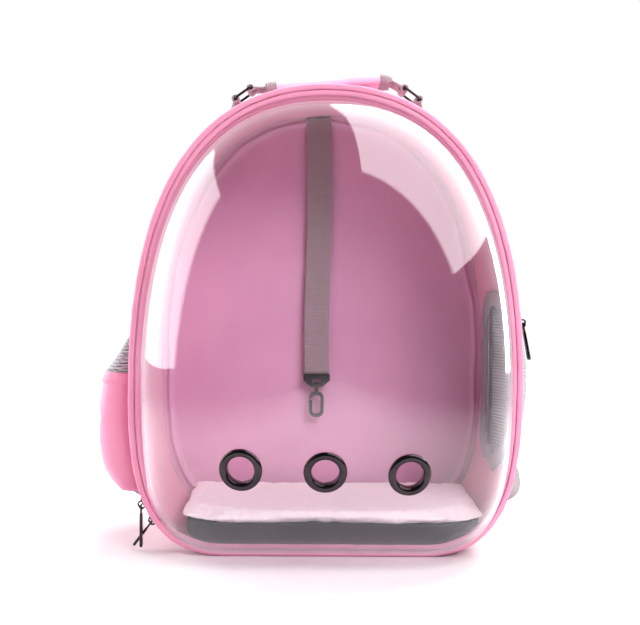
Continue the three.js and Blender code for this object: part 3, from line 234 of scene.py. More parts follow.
def woven(name, colour, shade, depth=0.00018, sheen=0.25):
    finish = Finish(name)
    along, across = finish.thread()
    weave = finish.wave(along, 2 * THREAD_PITCH) * finish.wave(across, 2 * THREAD_PITCH)
    slubs = finish.clouds(900, 1.0)
    worn = finish.limited(finish.clouds(14, 4.0) * 2.4 - 0.7)
    base = finish.blend(worn * 0.55 + (weave * 0.5 + 0.5) * 0.25, shade, colour)
    normal = finish.bump(weave * 0.5 + slubs * 0.6, depth)
    return finish.done(finish.principled(
        Base_Color=base, Roughness=finish.limited(worn * -0.08 + 0.78), Normal=normal,
        Sheen_Weight=sheen, Sheen_Roughness=0.4, Specular_IOR_Level=0.3,
    ))


pink_cloth = woven("pink_cloth", tone(244, 168, 196), tone(232, 142, 176), sheen=0.45)
# This paler copy of the pink cloth is painted light: it stands in for the strong light from above that
# falls on the handle's sleeve.
pink_cloth_painted_lit = woven("pink_cloth_painted_lit", tone(243, 208, 230), tone(232, 190, 216), sheen=0.45)
mauve_lining = woven("mauve_lining", tone(226, 174, 202), tone(210, 156, 188), depth=0.0001, sheen=0.1)
grey_cloth = woven("grey_cloth", tone(168, 162, 165), tone(142, 136, 140))
# The pad's cover is dark grey cloth. This colour is darker still as painted shade: it stands in for the
# shadow under the plush and in the dome's lower part.
dark_cloth = woven("dark_cloth", tone(44, 46, 54), tone(28, 29, 35), sheen=0.1)
cloths = (pink_cloth, pink_cloth_painted_lit, mauve_lining, grey_cloth, dark_cloth)
print("cloth finishes:", *[cloth.name for cloth in cloths])

# %% [markdown]
# ## Webbing
#
# Straps and the leash are webbing: a narrow band woven so densely that it shows small ribs
# across its width and a row of loops at each edge. The ribs come from one wave along the strap,
# broken up by a faster wave across it.

# %% Webbing finish
RIB_LENGTH, CORD_LENGTH = 0.0022, 0.0016


def webbing_finish(name, colour, shade):
    finish = Finish(name)
    along, across = finish.thread()
    rib = finish.wave(along, RIB_LENGTH)
    cord = finish.wave(across, CORD_LENGTH)
    herringbone = finish.sine(along * (2 * math.pi / RIB_LENGTH) + cord * 1.3)
    base = finish.blend(finish.limited(herringbone * 0.35 + 0.5), shade, colour)
    normal = finish.bump(herringbone * 0.6 + rib * cord * 0.4, 0.00025)
    return finish.done(finish.principled(
        Base_Color=base, Roughness=0.72, Normal=normal, Sheen_Weight=0.2, Specular_IOR_Level=0.35,
    ))


grey_webbing = webbing_finish("grey_webbing", tone(178, 164, 167), tone(140, 126, 131))
print("webbing finish:", grey_webbing.name)

# %% [markdown]
# ## Plush, mesh, metal, plastic and thread
#
# Plush is short pile: it scatters light softly, and its height is a fine random noise.
# The knitted mesh is open, so a mask of round holes makes it partly clear.
# The vent rings, sliders and pulls are plated in gun-metal: dark, nearly a mirror, with fine
# scratches that only change the roughness. Hook and adjusters are moulded black plastic.

# %% Other finishes
MESH_RIB, MESH_STEP = 0.0030, 0.0022


def plush():
    finish = Finish("pale_plush")
    pile = finish.clouds(1400, 3.0)
    tufts = finish.clouds(160, 3.0)
    base = finish.blend(finish.limited(tufts * 2 - 0.5), tone(252, 238, 241), tone(255, 251, 251))
    normal = finish.bump(pile * 0.5 + tufts, 0.0012)
    return finish.done(finish.principled(
        Base_Color=base, Roughness=0.95, Normal=normal, Sheen_Weight=0.6, Sheen_Roughness=0.5,
        Specular_IOR_Level=0.1,
    ))


def knitted_mesh():
    finish = Finish("grey_mesh")
    along, across = finish.thread()
    rib = finish.wave(across, MESH_RIB) * 0.5 + 0.5
    hole = finish.wave(across, MESH_RIB) * finish.wave(along, MESH_STEP)
    solid = finish.limited(hole * -2.2 + 1.3)
    cloth = finish.principled(
        Base_Color=finish.blend(rib, tone(206, 202, 205), tone(150, 146, 150)), Roughness=0.7,
        Normal=finish.bump(rib + hole * 0.5, 0.0006), Sheen_Weight=0.2,
    )
    clear = finish.node("BsdfTransparent")
    return finish.done(finish.node("MixShader", None, {0: solid * 0.7 + 0.25, 1: clear, 2: cloth}))


def gun_metal():
    finish = Finish("gun_metal")
    scratches = finish.node(
        "TexNoise", None, {"Vector": finish.place(), "Scale": 700.0, "Detail": 6.0, "Distortion": 1.5}
    )
    smears = finish.clouds(60, 3.0)
    return finish.done(finish.principled(
        Base_Color=finish.blend(smears, tone(46, 40, 43), tone(72, 64, 68)), Metallic=1.0,
        Roughness=finish.limited(scratches * 0.12 + smears * 0.1 + 0.03),
        Normal=finish.bump(scratches, 0.00003),
    ))


def moulded_black():
    finish = Finish("black_plastic")
    grain = finish.clouds(1800, 2.0)
    return finish.done(finish.principled(
        Base_Color=finish.blend(grain, tone(26, 25, 27), tone(44, 42, 45)),
        Roughness=finish.limited(grain * 0.2 + 0.3), Normal=finish.bump(grain, 0.00006),
    ))


def sewing_thread(name, colour, shade):
    finish = Finish(name)
    ply = finish.clouds(2600, 1.0)
    return finish.done(finish.principled(
        Base_Color=finish.blend(ply, shade, colour), Roughness=0.55, Normal=finish.bump(ply, 0.0001),
    ))


pale_plush, grey_mesh, metal, black_plastic = plush(), knitted_mesh(), gun_metal(), moulded_black()
pink_thread = sewing_thread("pink_thread", tone(246, 158, 192), tone(226, 120, 162))
grey_thread = sewing_thread("grey_thread", tone(178, 172, 176), tone(140, 134, 138))
print("other finishes:", pale_plush.name, grey_mesh.name, metal.name, black_plastic.name)

# %% [markdown]
# ## The clear dome's finish
#
# The dome is a thin sheet of clear plastic. Real glass shaders bend every ray, which is slow and
# leaves what is inside in the dark. A thin sheet hardly bends light, so a mix of a Transparent
# and a Glossy shader looks right and lets the lamps through. The share of gloss follows
# Schlick's rule: four per cent straight on, and more towards the edge. Layer Weight's Facing
# output is the same from both sides of the sheet, which a Fresnel node's isn't.

# %% Dome finish


def clear_sheet():
    finish = Finish("clear_dome")
    facing = finish.node("LayerWeight", None, {"Blend": 0.5}, output="Facing")
    gloss = finish.limited(facing ** 5.0 * 0.9 + 0.045)
    see = finish.node("BsdfTransparent", None, {"Color": (0.985, 0.965, 0.98, 1)})
    shine = finish.node("BsdfGlossy", None, {"Color": (1, 1, 1, 1), "Roughness": 0.03})
    return finish.done(finish.node("MixShader", None, {0: gloss, 1: see, 2: shine}))


clear_dome = clear_sheet()
print("dome finish:", clear_dome.name)

# %% [markdown]
# ## Lofted cloth
#
# Nearly every sewn part here is a loft: a row of outlines joined by faces. The helper below takes
# an array of rings, all with equally many points. It also writes the UV map `thread` in metres,
# from the real lengths along the rings and from ring to ring, so the weave has one scale
# everywhere.

# %% Loft helper


def smooth_faces(mesh):
    mesh.polygons.foreach_set("use_smooth", [True] * len(mesh.polygons))


def loft(name, rings, material, closed=True, looped=False):
    """closed joins the ends of each ring, looped joins the last ring to the first."""
    rings = np.asarray(rings, float)
    rows, count = rings.shape[:2]
    steps = np.linalg.norm(np.roll(rings, -1, 1) - rings, axis=2).mean(0)
    around = np.concatenate([[0], np.cumsum(steps)])
    rises = np.linalg.norm(np.roll(rings, -1, 0) - rings, axis=2).mean(1)
    up = np.concatenate([[0], np.cumsum(rises)])
    faces, thread = [], []
    for r in range(rows if looped else rows - 1):
        for i in range(count if closed else count - 1):
            j, n = (i + 1) % count, (r + 1) % rows
            faces.append((r * count + i, r * count + j, n * count + j, n * count + i))
            left, right, foot, head = around[i], around[i + 1], up[r], up[r + 1]
            thread += [(left, foot), (right, foot), (right, head), (left, head)]
    if closed and not looped:
        for row, order in ((0, range(count - 1, -1, -1)), (rows - 1, range(count))):
            faces.append(tuple(row * count + i for i in order))
            thread += rings[row][list(order)][:, [0, 2]].tolist()
    mesh = bpy.data.meshes.new(name)
    mesh.from_pydata(rings.reshape(-1, 3).tolist(), [], faces)
    mesh.uv_layers.new(name="thread").data.foreach_set("uv", np.array(thread, float).ravel())
    mesh.materials.append(material)
    smooth_faces(mesh)
    mesh.validate()
    piece = linked(name, mesh)
    outward(piece)
    return piece


def outward(piece):
    work = bmesh.new()
    work.from_mesh(piece.data)
    bmesh.ops.recalc_face_normals(work, faces=work.faces)
    work.to_mesh(piece.data)
    work.free()


def moved(piece, shift):
    """Moves each vertex by what shift gives for its place and its normal, both as arrays."""
    mesh = piece.data
    places = np.zeros(len(mesh.vertices) * 3)
    mesh.vertices.foreach_get("co", places)
    places = places.reshape(-1, 3)
    normals = np.zeros(len(mesh.vertices) * 3, np.float32)
    mesh.vertex_normals.foreach_get("vector", normals)
    mesh.vertices.foreach_set("co", (places + shift(places, normals.reshape(-1, 3))).ravel())
    mesh.update()
    return piece


def waves(places, scale, seed=0.0):
    """Smooth random numbers from -1 to 1 at each place. scale is how many waves fit in a metre."""
    return np.array([noise.noise(Vector((x * scale + seed, y * scale, z * scale))) for x, y, z in places])


def puckered(piece, *ripples, swell=0.0):
    """Random waves in the cloth. Each ripple is a depth, how many waves fit in a metre, and a seed."""

    def shift(at, out):
        height = sum(waves(at, per_metre, seed) * depth for depth, per_metre, seed in ripples)
        return out * (height + swell)[:, None]

    return moved(piece, shift)


def baked(piece):
    """The piece with its modifiers applied."""
    graph = bpy.context.evaluated_depsgraph_get()
    mesh = bpy.data.meshes.new_from_object(piece.evaluated_get(graph))
    piece.modifiers.clear()
    piece.data = mesh
    mesh.name = piece.name
    return piece


def cut(piece, cutters):
    """Takes the cutters' shapes out of a piece, and removes the cutters."""
    for cutter in cutters:
        hole = piece.modifiers.new("hole", "BOOLEAN")
        hole.operation, hole.object, hole.solver = "DIFFERENCE", cutter, "EXACT"
    baked(piece)
    for cutter in cutters:
        bpy.data.objects.remove(cutter)


def face_left(piece):
    """Turns the faces over where most of them look to the right."""
    if sum(face.normal.x for face in piece.data.polygons) > 0:
        piece.data.flip_normals()


def unit(directions):
    return directions / np.linalg.norm(directions, axis=1)[:, None]


def places_of(mesh):
    return np.array([vertex.co for vertex in mesh.vertices])


def set_thread(mesh, metres):
    """Writes the thread map from one pair of metres for each vertex."""
    corners = np.zeros(len(mesh.loops), np.int32)
    mesh.loops.foreach_get("vertex_index", corners)
    mesh.uv_layers["thread"].data.foreach_set("uv", metres[corners].ravel())


def planar(piece, a, b):
    """The thread map laid flat over two of the axes."""
    set_thread(piece.data, places_of(piece.data)[:, [a, b]])


def settle(piece, slot, *nodes, body="carrier"):
    """Puts a finished piece on its body, in the place of its CAD nodes. slot is not used."""
    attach(piece, body)
    if nodes:
        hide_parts(*nodes)
    print(piece.name, len(piece.data.polygons), "faces")
    return piece


print("loft helpers are ready")

# %% [markdown]
# ## The bag's outline
#
# Seen from the front the bag is an egg with a flat bottom. Two Bézier curves give half of it, as
# shares of the half width and the height, and the other half is its mirror image.
# The points are spread evenly, and each has an outward normal, so a band of any section can
# follow the outline.

# %% Outline
low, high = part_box("gusset")
WIDTH, HEIGHT = high.x - low.x, high.z - low.z
BACK = high.y
BACK_DRAW_SIDE, BACK_DRAW_TOP = 0.009, 0.005
GUSSET_FRONT = low.y
CURVES = [
    [(0, 1), (0.695, 1), (1, 0.752), (1, 0.358)],
    [(1, 0.358), (1, 0.18), (0.96, 0), (0.5, 0)],
    [(0.5, 0), (0.35, 0), (0.15, 0), (0, 0)],
]
ROUND = 176  # points round the bag


def bezier(corners, steps=300):
    t = np.linspace(0, 1, steps)[:, None]
    a, b, c, d = np.array(corners, float)
    return (1 - t) ** 3 * a + 3 * t * (1 - t) ** 2 * b + 3 * t * t * (1 - t) * c + t ** 3 * d


def run(line):
    """The length of a line of points."""
    return float(np.linalg.norm(np.diff(line, axis=0), axis=1).sum())


def spread(points, count, closed=False):
    """Evenly spaced points along a line of points."""
    points = np.asarray(points, float)
    if closed:
        points = np.vstack([points, points[:1]])
    lengths = np.concatenate([[0], np.cumsum(np.linalg.norm(np.diff(points, axis=0), axis=1))])
    at = np.linspace(0, lengths[-1], count + 1)[:-1] if closed else np.linspace(0, lengths[-1], count)
    return np.stack([np.interp(at, lengths, points[:, k]) for k in range(points.shape[1])], 1)


half = np.vstack([bezier(curve) for curve in CURVES]) * (WIDTH / 2, HEIGHT)
whole = np.vstack([half, (half * (-1, 1))[::-1]])
EDGE = spread(whole, ROUND, closed=True)
along_edge = unit(np.roll(EDGE, -1, 0) - np.roll(EDGE, 1, 0))
OUT = np.stack([-along_edge[:, 1], along_edge[:, 0]], 1)


def draw_in(y):
    """How the outline narrows behind the zip, as a share across and a share up."""
    share = np.clip((y - GUSSET_FRONT) / (BACK - GUSSET_FRONT), 0, 1)
    return 1 - share * BACK_DRAW_SIDE / (WIDTH / 2), 1 - share * BACK_DRAW_TOP / HEIGHT


def outline(y, inset):
    """The outline at a depth, moved inward by the inset."""
    across, up = draw_in(y)
    flat = (EDGE - OUT * inset) * (across, up)
    return np.stack([flat[:, 0], np.full(ROUND, y), flat[:, 1]], 1)


print("outline length", round(run(np.vstack([EDGE, EDGE[:1]])), 3), "m, first normal", OUT[0].round(2))

# %% [markdown]
# ## The rim: band, piping and zip
#
# The dome's flange is caught between a band of cloth outside and a round piping inside it, and a
# zip right behind the band lets the whole front open. All of them are bands: one small section
# swept round the outline. Sewing pulls cloth in at each stitch, so the surface gets short waves.

# %% Sections


def soft_section(inset, front, width, depth, corner, steps=4):
    """A rectangle with round corners, as pairs of an inset and a depth."""
    section = []
    for across, back, first in ((1, 0, -90), (1, 1, 0), (0, 1, 90), (0, 0, 180)):
        middle_inset = inset + (width - corner if across else corner)
        middle_y = front + (depth - corner if back else corner)
        for k in range(steps):
            angle = math.radians(first + 90 * k / (steps - 1))
            section.append((middle_inset + corner * math.cos(angle), middle_y + corner * math.sin(angle)))
    return section


def band(name, section, material):
    return loft(name, [outline(y, inset) for inset, y in section], material, looped=True)


RIM_WIDTH, RIM_DEPTH, SEAM_GAP = 0.0052, 0.010, 0.0003
PIPING_RADIUS = 0.0024
PIPING_INSET = RIM_WIDTH + SEAM_GAP + PIPING_RADIUS
PIPING_Y = RIM_FRONT + PIPING_RADIUS + 0.0004
ZIP_FRONT, ZIP_DEPTH = RIM_FRONT + RIM_DEPTH + SEAM_GAP, 0.011
print("rim", RIM_WIDTH * 1000, "mm wide, zip from", round(ZIP_FRONT, 4))

# %% Rim band and piping
rim = band("rim", soft_section(0, RIM_FRONT, RIM_WIDTH, RIM_DEPTH, 0.0019), pink_cloth)
puckered(rim, (0.00045, 95, 0.0))
settle(rim, "pink_cloth", "rim_band")

round_section = [
    (PIPING_INSET + PIPING_RADIUS * math.cos(a), PIPING_Y + PIPING_RADIUS * math.sin(a))
    for a in np.linspace(0, 2 * math.pi, 12, endpoint=False)
]
piping = band("piping", round_section, pink_cloth)
puckered(piping, (0.0003, 120, 5.0))
settle(piping, "pink_cloth", "rim_piping")

# %% [markdown]
# ### Things that repeat
#
# Zip teeth and stitches are hundreds of copies of one small shape. A Geometry Nodes tree places
# them: the input is a cloud of points that know their direction along the seam and away from the
# cloth. The tree turns a stretched ball to those directions, with a little fixed randomness,
# and ends by making the copies real and giving them their material.

# %% Geometry Nodes for stitches and teeth
BALL = {"Segments": 6, "Rings": 4, "Radius": 0.5}
LOOSENESS = 0.08  # how much longer than its size a copy may come out
FAINT = 1e-6  # scales directions, so that they add nothing to a line's length


def repeat_tree():
    tree = bpy.data.node_groups.new("sewn_row", "GeometryNodeTree")
    sockets = ["Geometry", "Float", "Float", "Float", "Material"]
    for label, kind in zip(["Geometry", "Length", "Width", "Thickness", "Material"], sockets):
        tree.interface.new_socket(label, in_out="INPUT", socket_type="NodeSocket" + kind)
    tree.interface.new_socket("Geometry", in_out="OUTPUT", socket_type="NodeSocketGeometry")
    start = add_node(tree, "NodeGroupInput").outputs
    ball = add_node(tree, "GeometryNodeMeshUVSphere", None, BALL)
    size = add_node(tree, "ShaderNodeCombineXYZ", None, {
        "X": start["Length"], "Y": start["Width"], "Z": start["Thickness"],
    })
    turn = {}
    for axis, pivot, name in (("X", "AUTO", "along"), ("Z", "X", "away")):
        read = add_node(
            tree, "GeometryNodeInputNamedAttribute", {"data_type": "FLOAT_VECTOR"}, {"Name": name},
        )
        align = add_node(
            tree, "FunctionNodeAlignRotationToVector", {"axis": axis, "pivot_axis": pivot},
            {"Vector": read.outputs["Attribute"], **turn},
        )
        turn = {"Rotation": align.outputs["Rotation"]}
    random = add_node(tree, "FunctionNodeRandomValue", {"data_type": "FLOAT"}, {"Seed": 1})
    stretch = add_node(tree, "ShaderNodeMath", {"operation": "MULTIPLY_ADD"}, {
        0: random.outputs[1], 1: LOOSENESS, 2: 1.0,
    })
    scaled = add_node(tree, "ShaderNodeVectorMath", {"operation": "SCALE"}, {
        0: size.outputs[0], "Scale": stretch.outputs[0],
    })
    copies = add_node(tree, "GeometryNodeInstanceOnPoints", None, {
        "Points": start["Geometry"], "Instance": ball.outputs["Mesh"], "Scale": scaled.outputs[0], **turn,
    })
    real = add_node(tree, "GeometryNodeRealizeInstances", None, {0: copies.outputs[0]})
    paint = add_node(tree, "GeometryNodeSetMaterial", None, {
        "Geometry": real.outputs[0], "Material": start["Material"],
    })
    add_node(tree, "NodeGroupOutput", None, {0: paint.outputs[0]})
    return tree


SEWN_ROW = repeat_tree()


def sewn_row(name, rows, size, spacing, thread=pink_thread, slot="pink_cloth"):
    """Copies of one size along lines. rows holds pairs of places and outward directions."""
    points, along, away = [], [], []
    for places, outs in rows:
        count = max(3, int(run(places) / spacing))
        both = spread(np.hstack([places, outs * FAINT]), count)
        points.append(both[:, :3])
        along.append(np.gradient(both[:, :3], axis=0))
        away.append(both[:, 3:] / FAINT)
    mesh = bpy.data.meshes.new(name)
    mesh.from_pydata(np.vstack(points).tolist(), [], [])
    for label, value in (("along", along), ("away", away)):
        attribute = mesh.attributes.new(label, "FLOAT_VECTOR", "POINT")
        attribute.data.foreach_set("vector", unit(np.vstack(value)).ravel())
    piece = linked(name, mesh)
    modifier = piece.modifiers.new("row", "NODES")
    modifier.node_group = SEWN_ROW
    wanted = {"Length": size[0], "Width": size[1], "Thickness": size[2], "Material": thread}
    for item in SEWN_ROW.interface.items_tree:
        if item.in_out == "INPUT" and item.name in wanted:
            modifier[item.identifier] = wanted[item.name]
    baked(piece)
    smooth_faces(piece.data)
    settle(piece, slot)


def ring_line(y, inset):
    """A closed line of points on the outline at a depth, with their outward directions."""
    outs = np.stack([OUT[:, 0], np.zeros(ROUND), OUT[:, 1]], 1)
    index = np.arange(ROUND + 1) % ROUND
    return outline(y, inset)[index], outs[index]


print("sewn_row tree has", len(SEWN_ROW.nodes), "nodes")

# %% [markdown]
# ### The front zip
#
# The zip is two tapes with a nylon coil between them. A tape lies under the coil all the way, two
# flaps of tape stand a little higher at its sides, and the coil is a row of closely set teeth.

# %% Front zip
zip_middle = ZIP_FRONT + ZIP_DEPTH / 2
tape = band("zip_tape", soft_section(0.0016, ZIP_FRONT, 0.0013, ZIP_DEPTH, 0.0004, 2), pink_cloth)
settle(tape, "pink_cloth", "front_zip")
for name, front in (("zip_edge_front", ZIP_FRONT), ("zip_edge_back", ZIP_FRONT + ZIP_DEPTH - 0.0037)):
    edge = band(name, soft_section(0.0006, front, 0.0009, 0.0037, 0.0004, 3), pink_cloth)
    puckered(edge, (0.0002, 140, front * 100))
    settle(edge, "pink_cloth")
sewn_row("zip_teeth", [ring_line(zip_middle, 0.0011)], (0.0014, 0.0032, 0.0012), 0.0018)

# %% [markdown]
# ## The dome
#
# The dome is blown or drawn from one flat sheet: a flange stays flat under the piping, and the
# rest swells out. Each ring of the loft is the outline, scaled down while it moves forward
# along a superellipse, which is boxier than a ball, and its nose sags a little below the middle.
# The sheet has a real thickness, so the shell goes out, round the flange's edge, and back inside.

# %% Dome
DOME_DEPTH, DOME_SHEET, DOME_SAG, DOME_POWER = 0.116, 0.0016, 0.020, 2.3
DOME_RINGS, DOME_NOSE, DOME_CROWDING = 38, 0.985, 1.25  # how the rings lie between rim and nose
FLANGE_FRONT = PIPING_Y + PIPING_RADIUS + SEAM_GAP
FLANGE_INSET = RIM_WIDTH + SEAM_GAP
DOME_INSET = RIM_WIDTH + 2 * PIPING_RADIUS + 2 * SEAM_GAP


def dome_ring(turn, wall):
    scale, forward = math.cos(turn) ** (2 / DOME_POWER), math.sin(turn) ** (2 / DOME_POWER)
    edge = EDGE - OUT * (DOME_INSET + wall)
    middle = HEIGHT / 2 - DOME_SAG * forward
    y = FLANGE_FRONT + wall - forward * DOME_DEPTH
    places = [edge[:, 0] * scale, np.full(ROUND, y), middle + (edge[:, 1] - HEIGHT / 2) * scale]
    return np.stack(places, 1)


turns = [math.pi / 2 * DOME_NOSE * (1 - i / DOME_RINGS) ** DOME_CROWDING for i in range(DOME_RINGS)]
flange = [
    outline(FLANGE_FRONT, DOME_INSET), outline(FLANGE_FRONT, FLANGE_INSET),
    outline(FLANGE_FRONT + DOME_SHEET, FLANGE_INSET),
    outline(FLANGE_FRONT + DOME_SHEET, DOME_INSET + DOME_SHEET),
]
outer, inner = [dome_ring(t, 0) for t in turns], [dome_ring(t, DOME_SHEET) for t in turns[::-1]]
dome = loft("dome", outer + flange + inner, clear_dome)
print("dome", len(dome.data.polygons), "faces before the holes")

# %% [markdown]
# ### Vent rings
#
# Each vent is a large eyelet: a rolled metal crown outside, a barrel through the sheet, and a
# washer inside. It is a turned shape, so a profile is spun round the axis of the CAD ring.
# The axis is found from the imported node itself: the direction in which its points spread least.

# %% Vent rings
CROWN, HOLE_RADIUS, LIP_RADIUS = 0.0036, 0.0112, 0.0177
BARREL_RADIUS, WASHER_RADIUS, WASHER_DEPTH = 0.0122, 0.0155, 0.0046
WASHER_TOP = 0.0014 - WASHER_DEPTH
BORE_RADIUS, CUTTER_REACH = BARREL_RADIUS + SEAM_GAP, 0.02


def axis_of(node):
    """Middle and outward axis of a CAD ring. The middle lies at the crown's foot."""
    points = places_of(frame["nodes"][node].data)
    centre = points.mean(0)
    axis = np.linalg.svd(np.unique(points.round(6), axis=0) - centre, full_matrices=False)[2][2]
    axis = axis if axis[1] < 0 else -axis
    heights = (points - centre) @ axis
    return centre + axis * (heights.max() - CROWN), axis


def spun(name, profile, centre, axis, material, sides=72):
    """A closed profile of (radius, height) pairs, turned about an axis."""
    side = np.cross(axis, (0, 0, 1))
    side /= np.linalg.norm(side)
    up = np.cross(side, axis)
    angles = np.linspace(0, 2 * math.pi, sides, endpoint=False)
    spokes = np.cos(angles)[:, None] * side + np.sin(angles)[:, None] * up
    rings = [centre + spokes * radius + np.asarray(axis) * height for radius, height in profile]
    return loft(name, rings, material, looped=True)


def rolled(a, b, height, steps):
    """A rounded crown from radius a to radius b."""
    return [
        (a + (b - a) * (1 - math.cos(t)) / 2, height * (0.12 + 0.88 * math.sin(t) ** 0.8))
        for t in np.linspace(0, math.pi, steps)
    ]


eyelet_profile = [
    (HOLE_RADIUS, -WASHER_DEPTH + 0.0004), (HOLE_RADIUS - 0.0001, 0), (HOLE_RADIUS, CROWN * 0.3),
    *rolled(HOLE_RADIUS, LIP_RADIUS, CROWN, 13)[1:-1], (LIP_RADIUS, CROWN * 0.25),
    (LIP_RADIUS - 0.0005, 0.0003), (BARREL_RADIUS, 0.0003), (BARREL_RADIUS, WASHER_TOP),
    (WASHER_RADIUS - 0.0003, WASHER_TOP), (WASHER_RADIUS, WASHER_TOP - 0.0004),
    (WASHER_RADIUS - 0.0004, -WASHER_DEPTH), (HOLE_RADIUS + 0.0006, -WASHER_DEPTH),
]
bored = [
    (1e-5, -CUTTER_REACH), (BORE_RADIUS, -CUTTER_REACH), (BORE_RADIUS, CUTTER_REACH), (1e-5, CUTTER_REACH),
]
cutters = []
for place in ("left", "middle", "right"):
    centre, axis = axis_of(f"eyelet_{place}")
    vent_ring = spun(f"vent_ring_{place}", eyelet_profile, centre, axis, metal)
    settle(vent_ring, "gun_metal", f"eyelet_{place}")
    cutters.append(spun(f"hole_{place}", bored, centre, axis, metal))
cut(dome, cutters)
settle(dome, "clear_dome", "bubble")

# %% [markdown]
# ## The side wall
#
# One long strip of padded cloth runs all round the bag, from the zip to the back. Outside it is
# fairly tight, and inside its lining wrinkles, most of all near the seams. It is a band with
# many rows, so that there are enough points to move. The door's hole is cut out afterwards.

# %% Side wall
CLOTH = 0.0024
wall_rows = np.linspace(GUSSET_FRONT, BACK, 30)
wall_section = [(0, y) for y in wall_rows] + [(CLOTH, y) for y in wall_rows[::-1]]
wall = band("side_wall", wall_section, pink_cloth)


def wall_folds(at, out):
    """Wrinkles of the lining, deeper near its seams, and slight swells outside."""
    inner = np.einsum("ij,ij->i", out[:, ::2], at[:, ::2] - (0, HEIGHT / 2)) < 0
    seam = np.minimum(np.abs(at[:, 1] - GUSSET_FRONT), np.abs(at[:, 1] - BACK))
    near = np.exp(-seam / 0.012)
    wrinkles = 0.0030 * waves(at * (1, 0.5, 1), 19, 3.0) + 0.0018 * near * waves(at, 60, 9.0)
    swells = 0.0004 * waves(at, 16, 1.0) - 0.0004 + 0.0003 * near * waves(at, 80, 4.0)
    amount = np.where(inner, np.maximum(wrinkles, -0.0004), np.minimum(swells, 0.0001))
    return out * amount[:, None]


moved(wall, wall_folds)
door_low, door_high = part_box("window_frame")
DOOR_Y, DOOR_Z = (door_low.y + door_high.y) / 2, (door_low.z + door_high.z) / 2
FRAME_WIDTH = 0.011
DOOR_HALF_Y = (door_high.y - door_low.y - FRAME_WIDTH) / 2
DOOR_HALF_Z = (door_high.z - door_low.z - FRAME_WIDTH) / 2


def door_loop(grow, steps=96, share=1.0, wobble=0.0, seed=0.0):
    """Depths and heights round the door's rounded outline."""
    angle = np.linspace(0, 2 * math.pi, steps, endpoint=False)
    across, up = (np.sign(f) * np.abs(f) ** (2 / 3) for f in (np.cos(angle), np.sin(angle)))
    noises = [noise.noise(Vector((math.cos(a) * 4, math.sin(a) * 4, seed))) for a in angle]
    ripple = wobble * np.array(noises)
    reach_y, reach_z = (DOOR_HALF_Y + grow + ripple) * share, (DOOR_HALF_Z + grow + ripple) * share
    return DOOR_Y + reach_y * across, DOOR_Z + reach_z * up


right_side = outline(0, 0)
right_side = right_side[right_side[:, 0] > 0]
right_side = right_side[np.argsort(right_side[:, 2])]


def wall_x(y, z):
    """Half width of the side wall at a depth and a height."""
    across, up = draw_in(np.asarray(y))
    flat_x = right_side[:, 0] / draw_in(0)[0]
    flat_z = right_side[:, 2] / draw_in(0)[1]
    return across * np.interp(np.asarray(z) / up, flat_z, flat_x)


def on_side(y, z, out, side=1):
    return np.stack([side * (wall_x(y, z) + out), y, z], 1)


y, z = door_loop(0)
hole_rings = [np.stack([np.full(len(y), x), y, z], 1) for x in (0.08, 0.22)]  # from inside to outside
cut(wall, [loft("door_hole", hole_rings, pink_cloth)])
settle(wall, "pink_cloth", "gusset")

# %% Top stitching of the side wall
wall_lines = [ring_line(y, -0.0001) for y in (GUSSET_FRONT + 0.003, BACK - 0.004)]
sewn_row("wall_stitches", wall_lines, (0.0036, 0.0008, 0.0006), 0.0046)
rim_line = ring_line(RIM_FRONT + RIM_DEPTH - 0.0022, -0.0001)
sewn_row("rim_stitches", [rim_line], (0.0034, 0.0008, 0.0006), 0.0046)

# %% [markdown]
# ## The back panel
#
# The panel behind the animal is padded: foam between the pink cloth outside and a mauve lining
# inside. A welt, the ridge of cloth where the lining meets the side wall, runs round it about a
# centimetre from the edge. It is sewn by eye, so it wavers.

# %% Back panel
PANEL_THICK, PANEL_CROWN = 0.007, 0.0025


def panel_ring(y, inset, share):
    ring = outline(BACK, inset)
    middle = HEIGHT / 2
    return np.stack([ring[:, 0] * share, np.full(ROUND, y), middle + (ring[:, 2] - middle) * share], 1)


insets = [0.0007, 0.002, 0.004, 0.006, 0.0075, 0.009, 0.0105, 0.012, 0.014, 0.017]
shares = [0.95, 0.89, 0.82, 0.74, 0.65, 0.55, 0.44, 0.32, 0.18, 0.02]
steps = [(inset, 1.0) for inset in insets] + [(insets[-1], share) for share in shares]
lining_y, outside_y = BACK + SEAM_GAP, BACK + SEAM_GAP + PANEL_THICK
inner = [panel_ring(lining_y, *step) for step in steps[::-1]]
edge = [panel_ring(lining_y + PANEL_THICK * k, 0, 1) for k in (0.18, 0.5, 0.82)]
crowns = [PANEL_CROWN * min(1, i / 12) ** 0.6 - 0.0004 for i in range(len(steps))]
outer = [panel_ring(outside_y + crown, *step) for crown, step in zip(crowns, steps)]
panel = loft("back_panel_padded", inner + edge + outer, pink_cloth)
panel.data.materials.append(mauve_lining)
planar(panel, 0, 2)


def edge_distance(at):
    """How far inside the outline each place lies."""
    flat = at[:, [0, 2]] / draw_in(BACK)
    return np.array([np.min(np.hypot(*(EDGE - p).T)) for p in flat])


def panel_folds(at, out):
    far = edge_distance(at)
    inside = at[:, 1] < lining_y + 0.001
    welt = np.exp(-((far - 0.0100 - 0.0030 * waves(at, 24, 7.0)) / 0.0019) ** 2)
    swells = waves(at, 9, 2.0) * 0.0018 + waves(at * (1, 1, 0.3), 34, 5.0) * 0.0006
    soft = swells * np.clip(far / 0.03, 0, 1)
    creases = waves(at, 55, 4.0) * 0.0018 * np.exp(-((far - 0.014) / 0.016) ** 2)
    lining = 0.0034 * welt + np.maximum(soft, -0.0002) + creases * (far > 0.005)
    return out * np.where(inside, lining, soft * 0.6 + creases)[:, None]


moved(panel, panel_folds)
panel.data.polygons.foreach_set("material_index", [
    int(face.normal.y < -0.3 and face.center.y < BACK + 0.004) for face in panel.data.polygons
])
settle(panel, "pink_cloth", "back_panel")

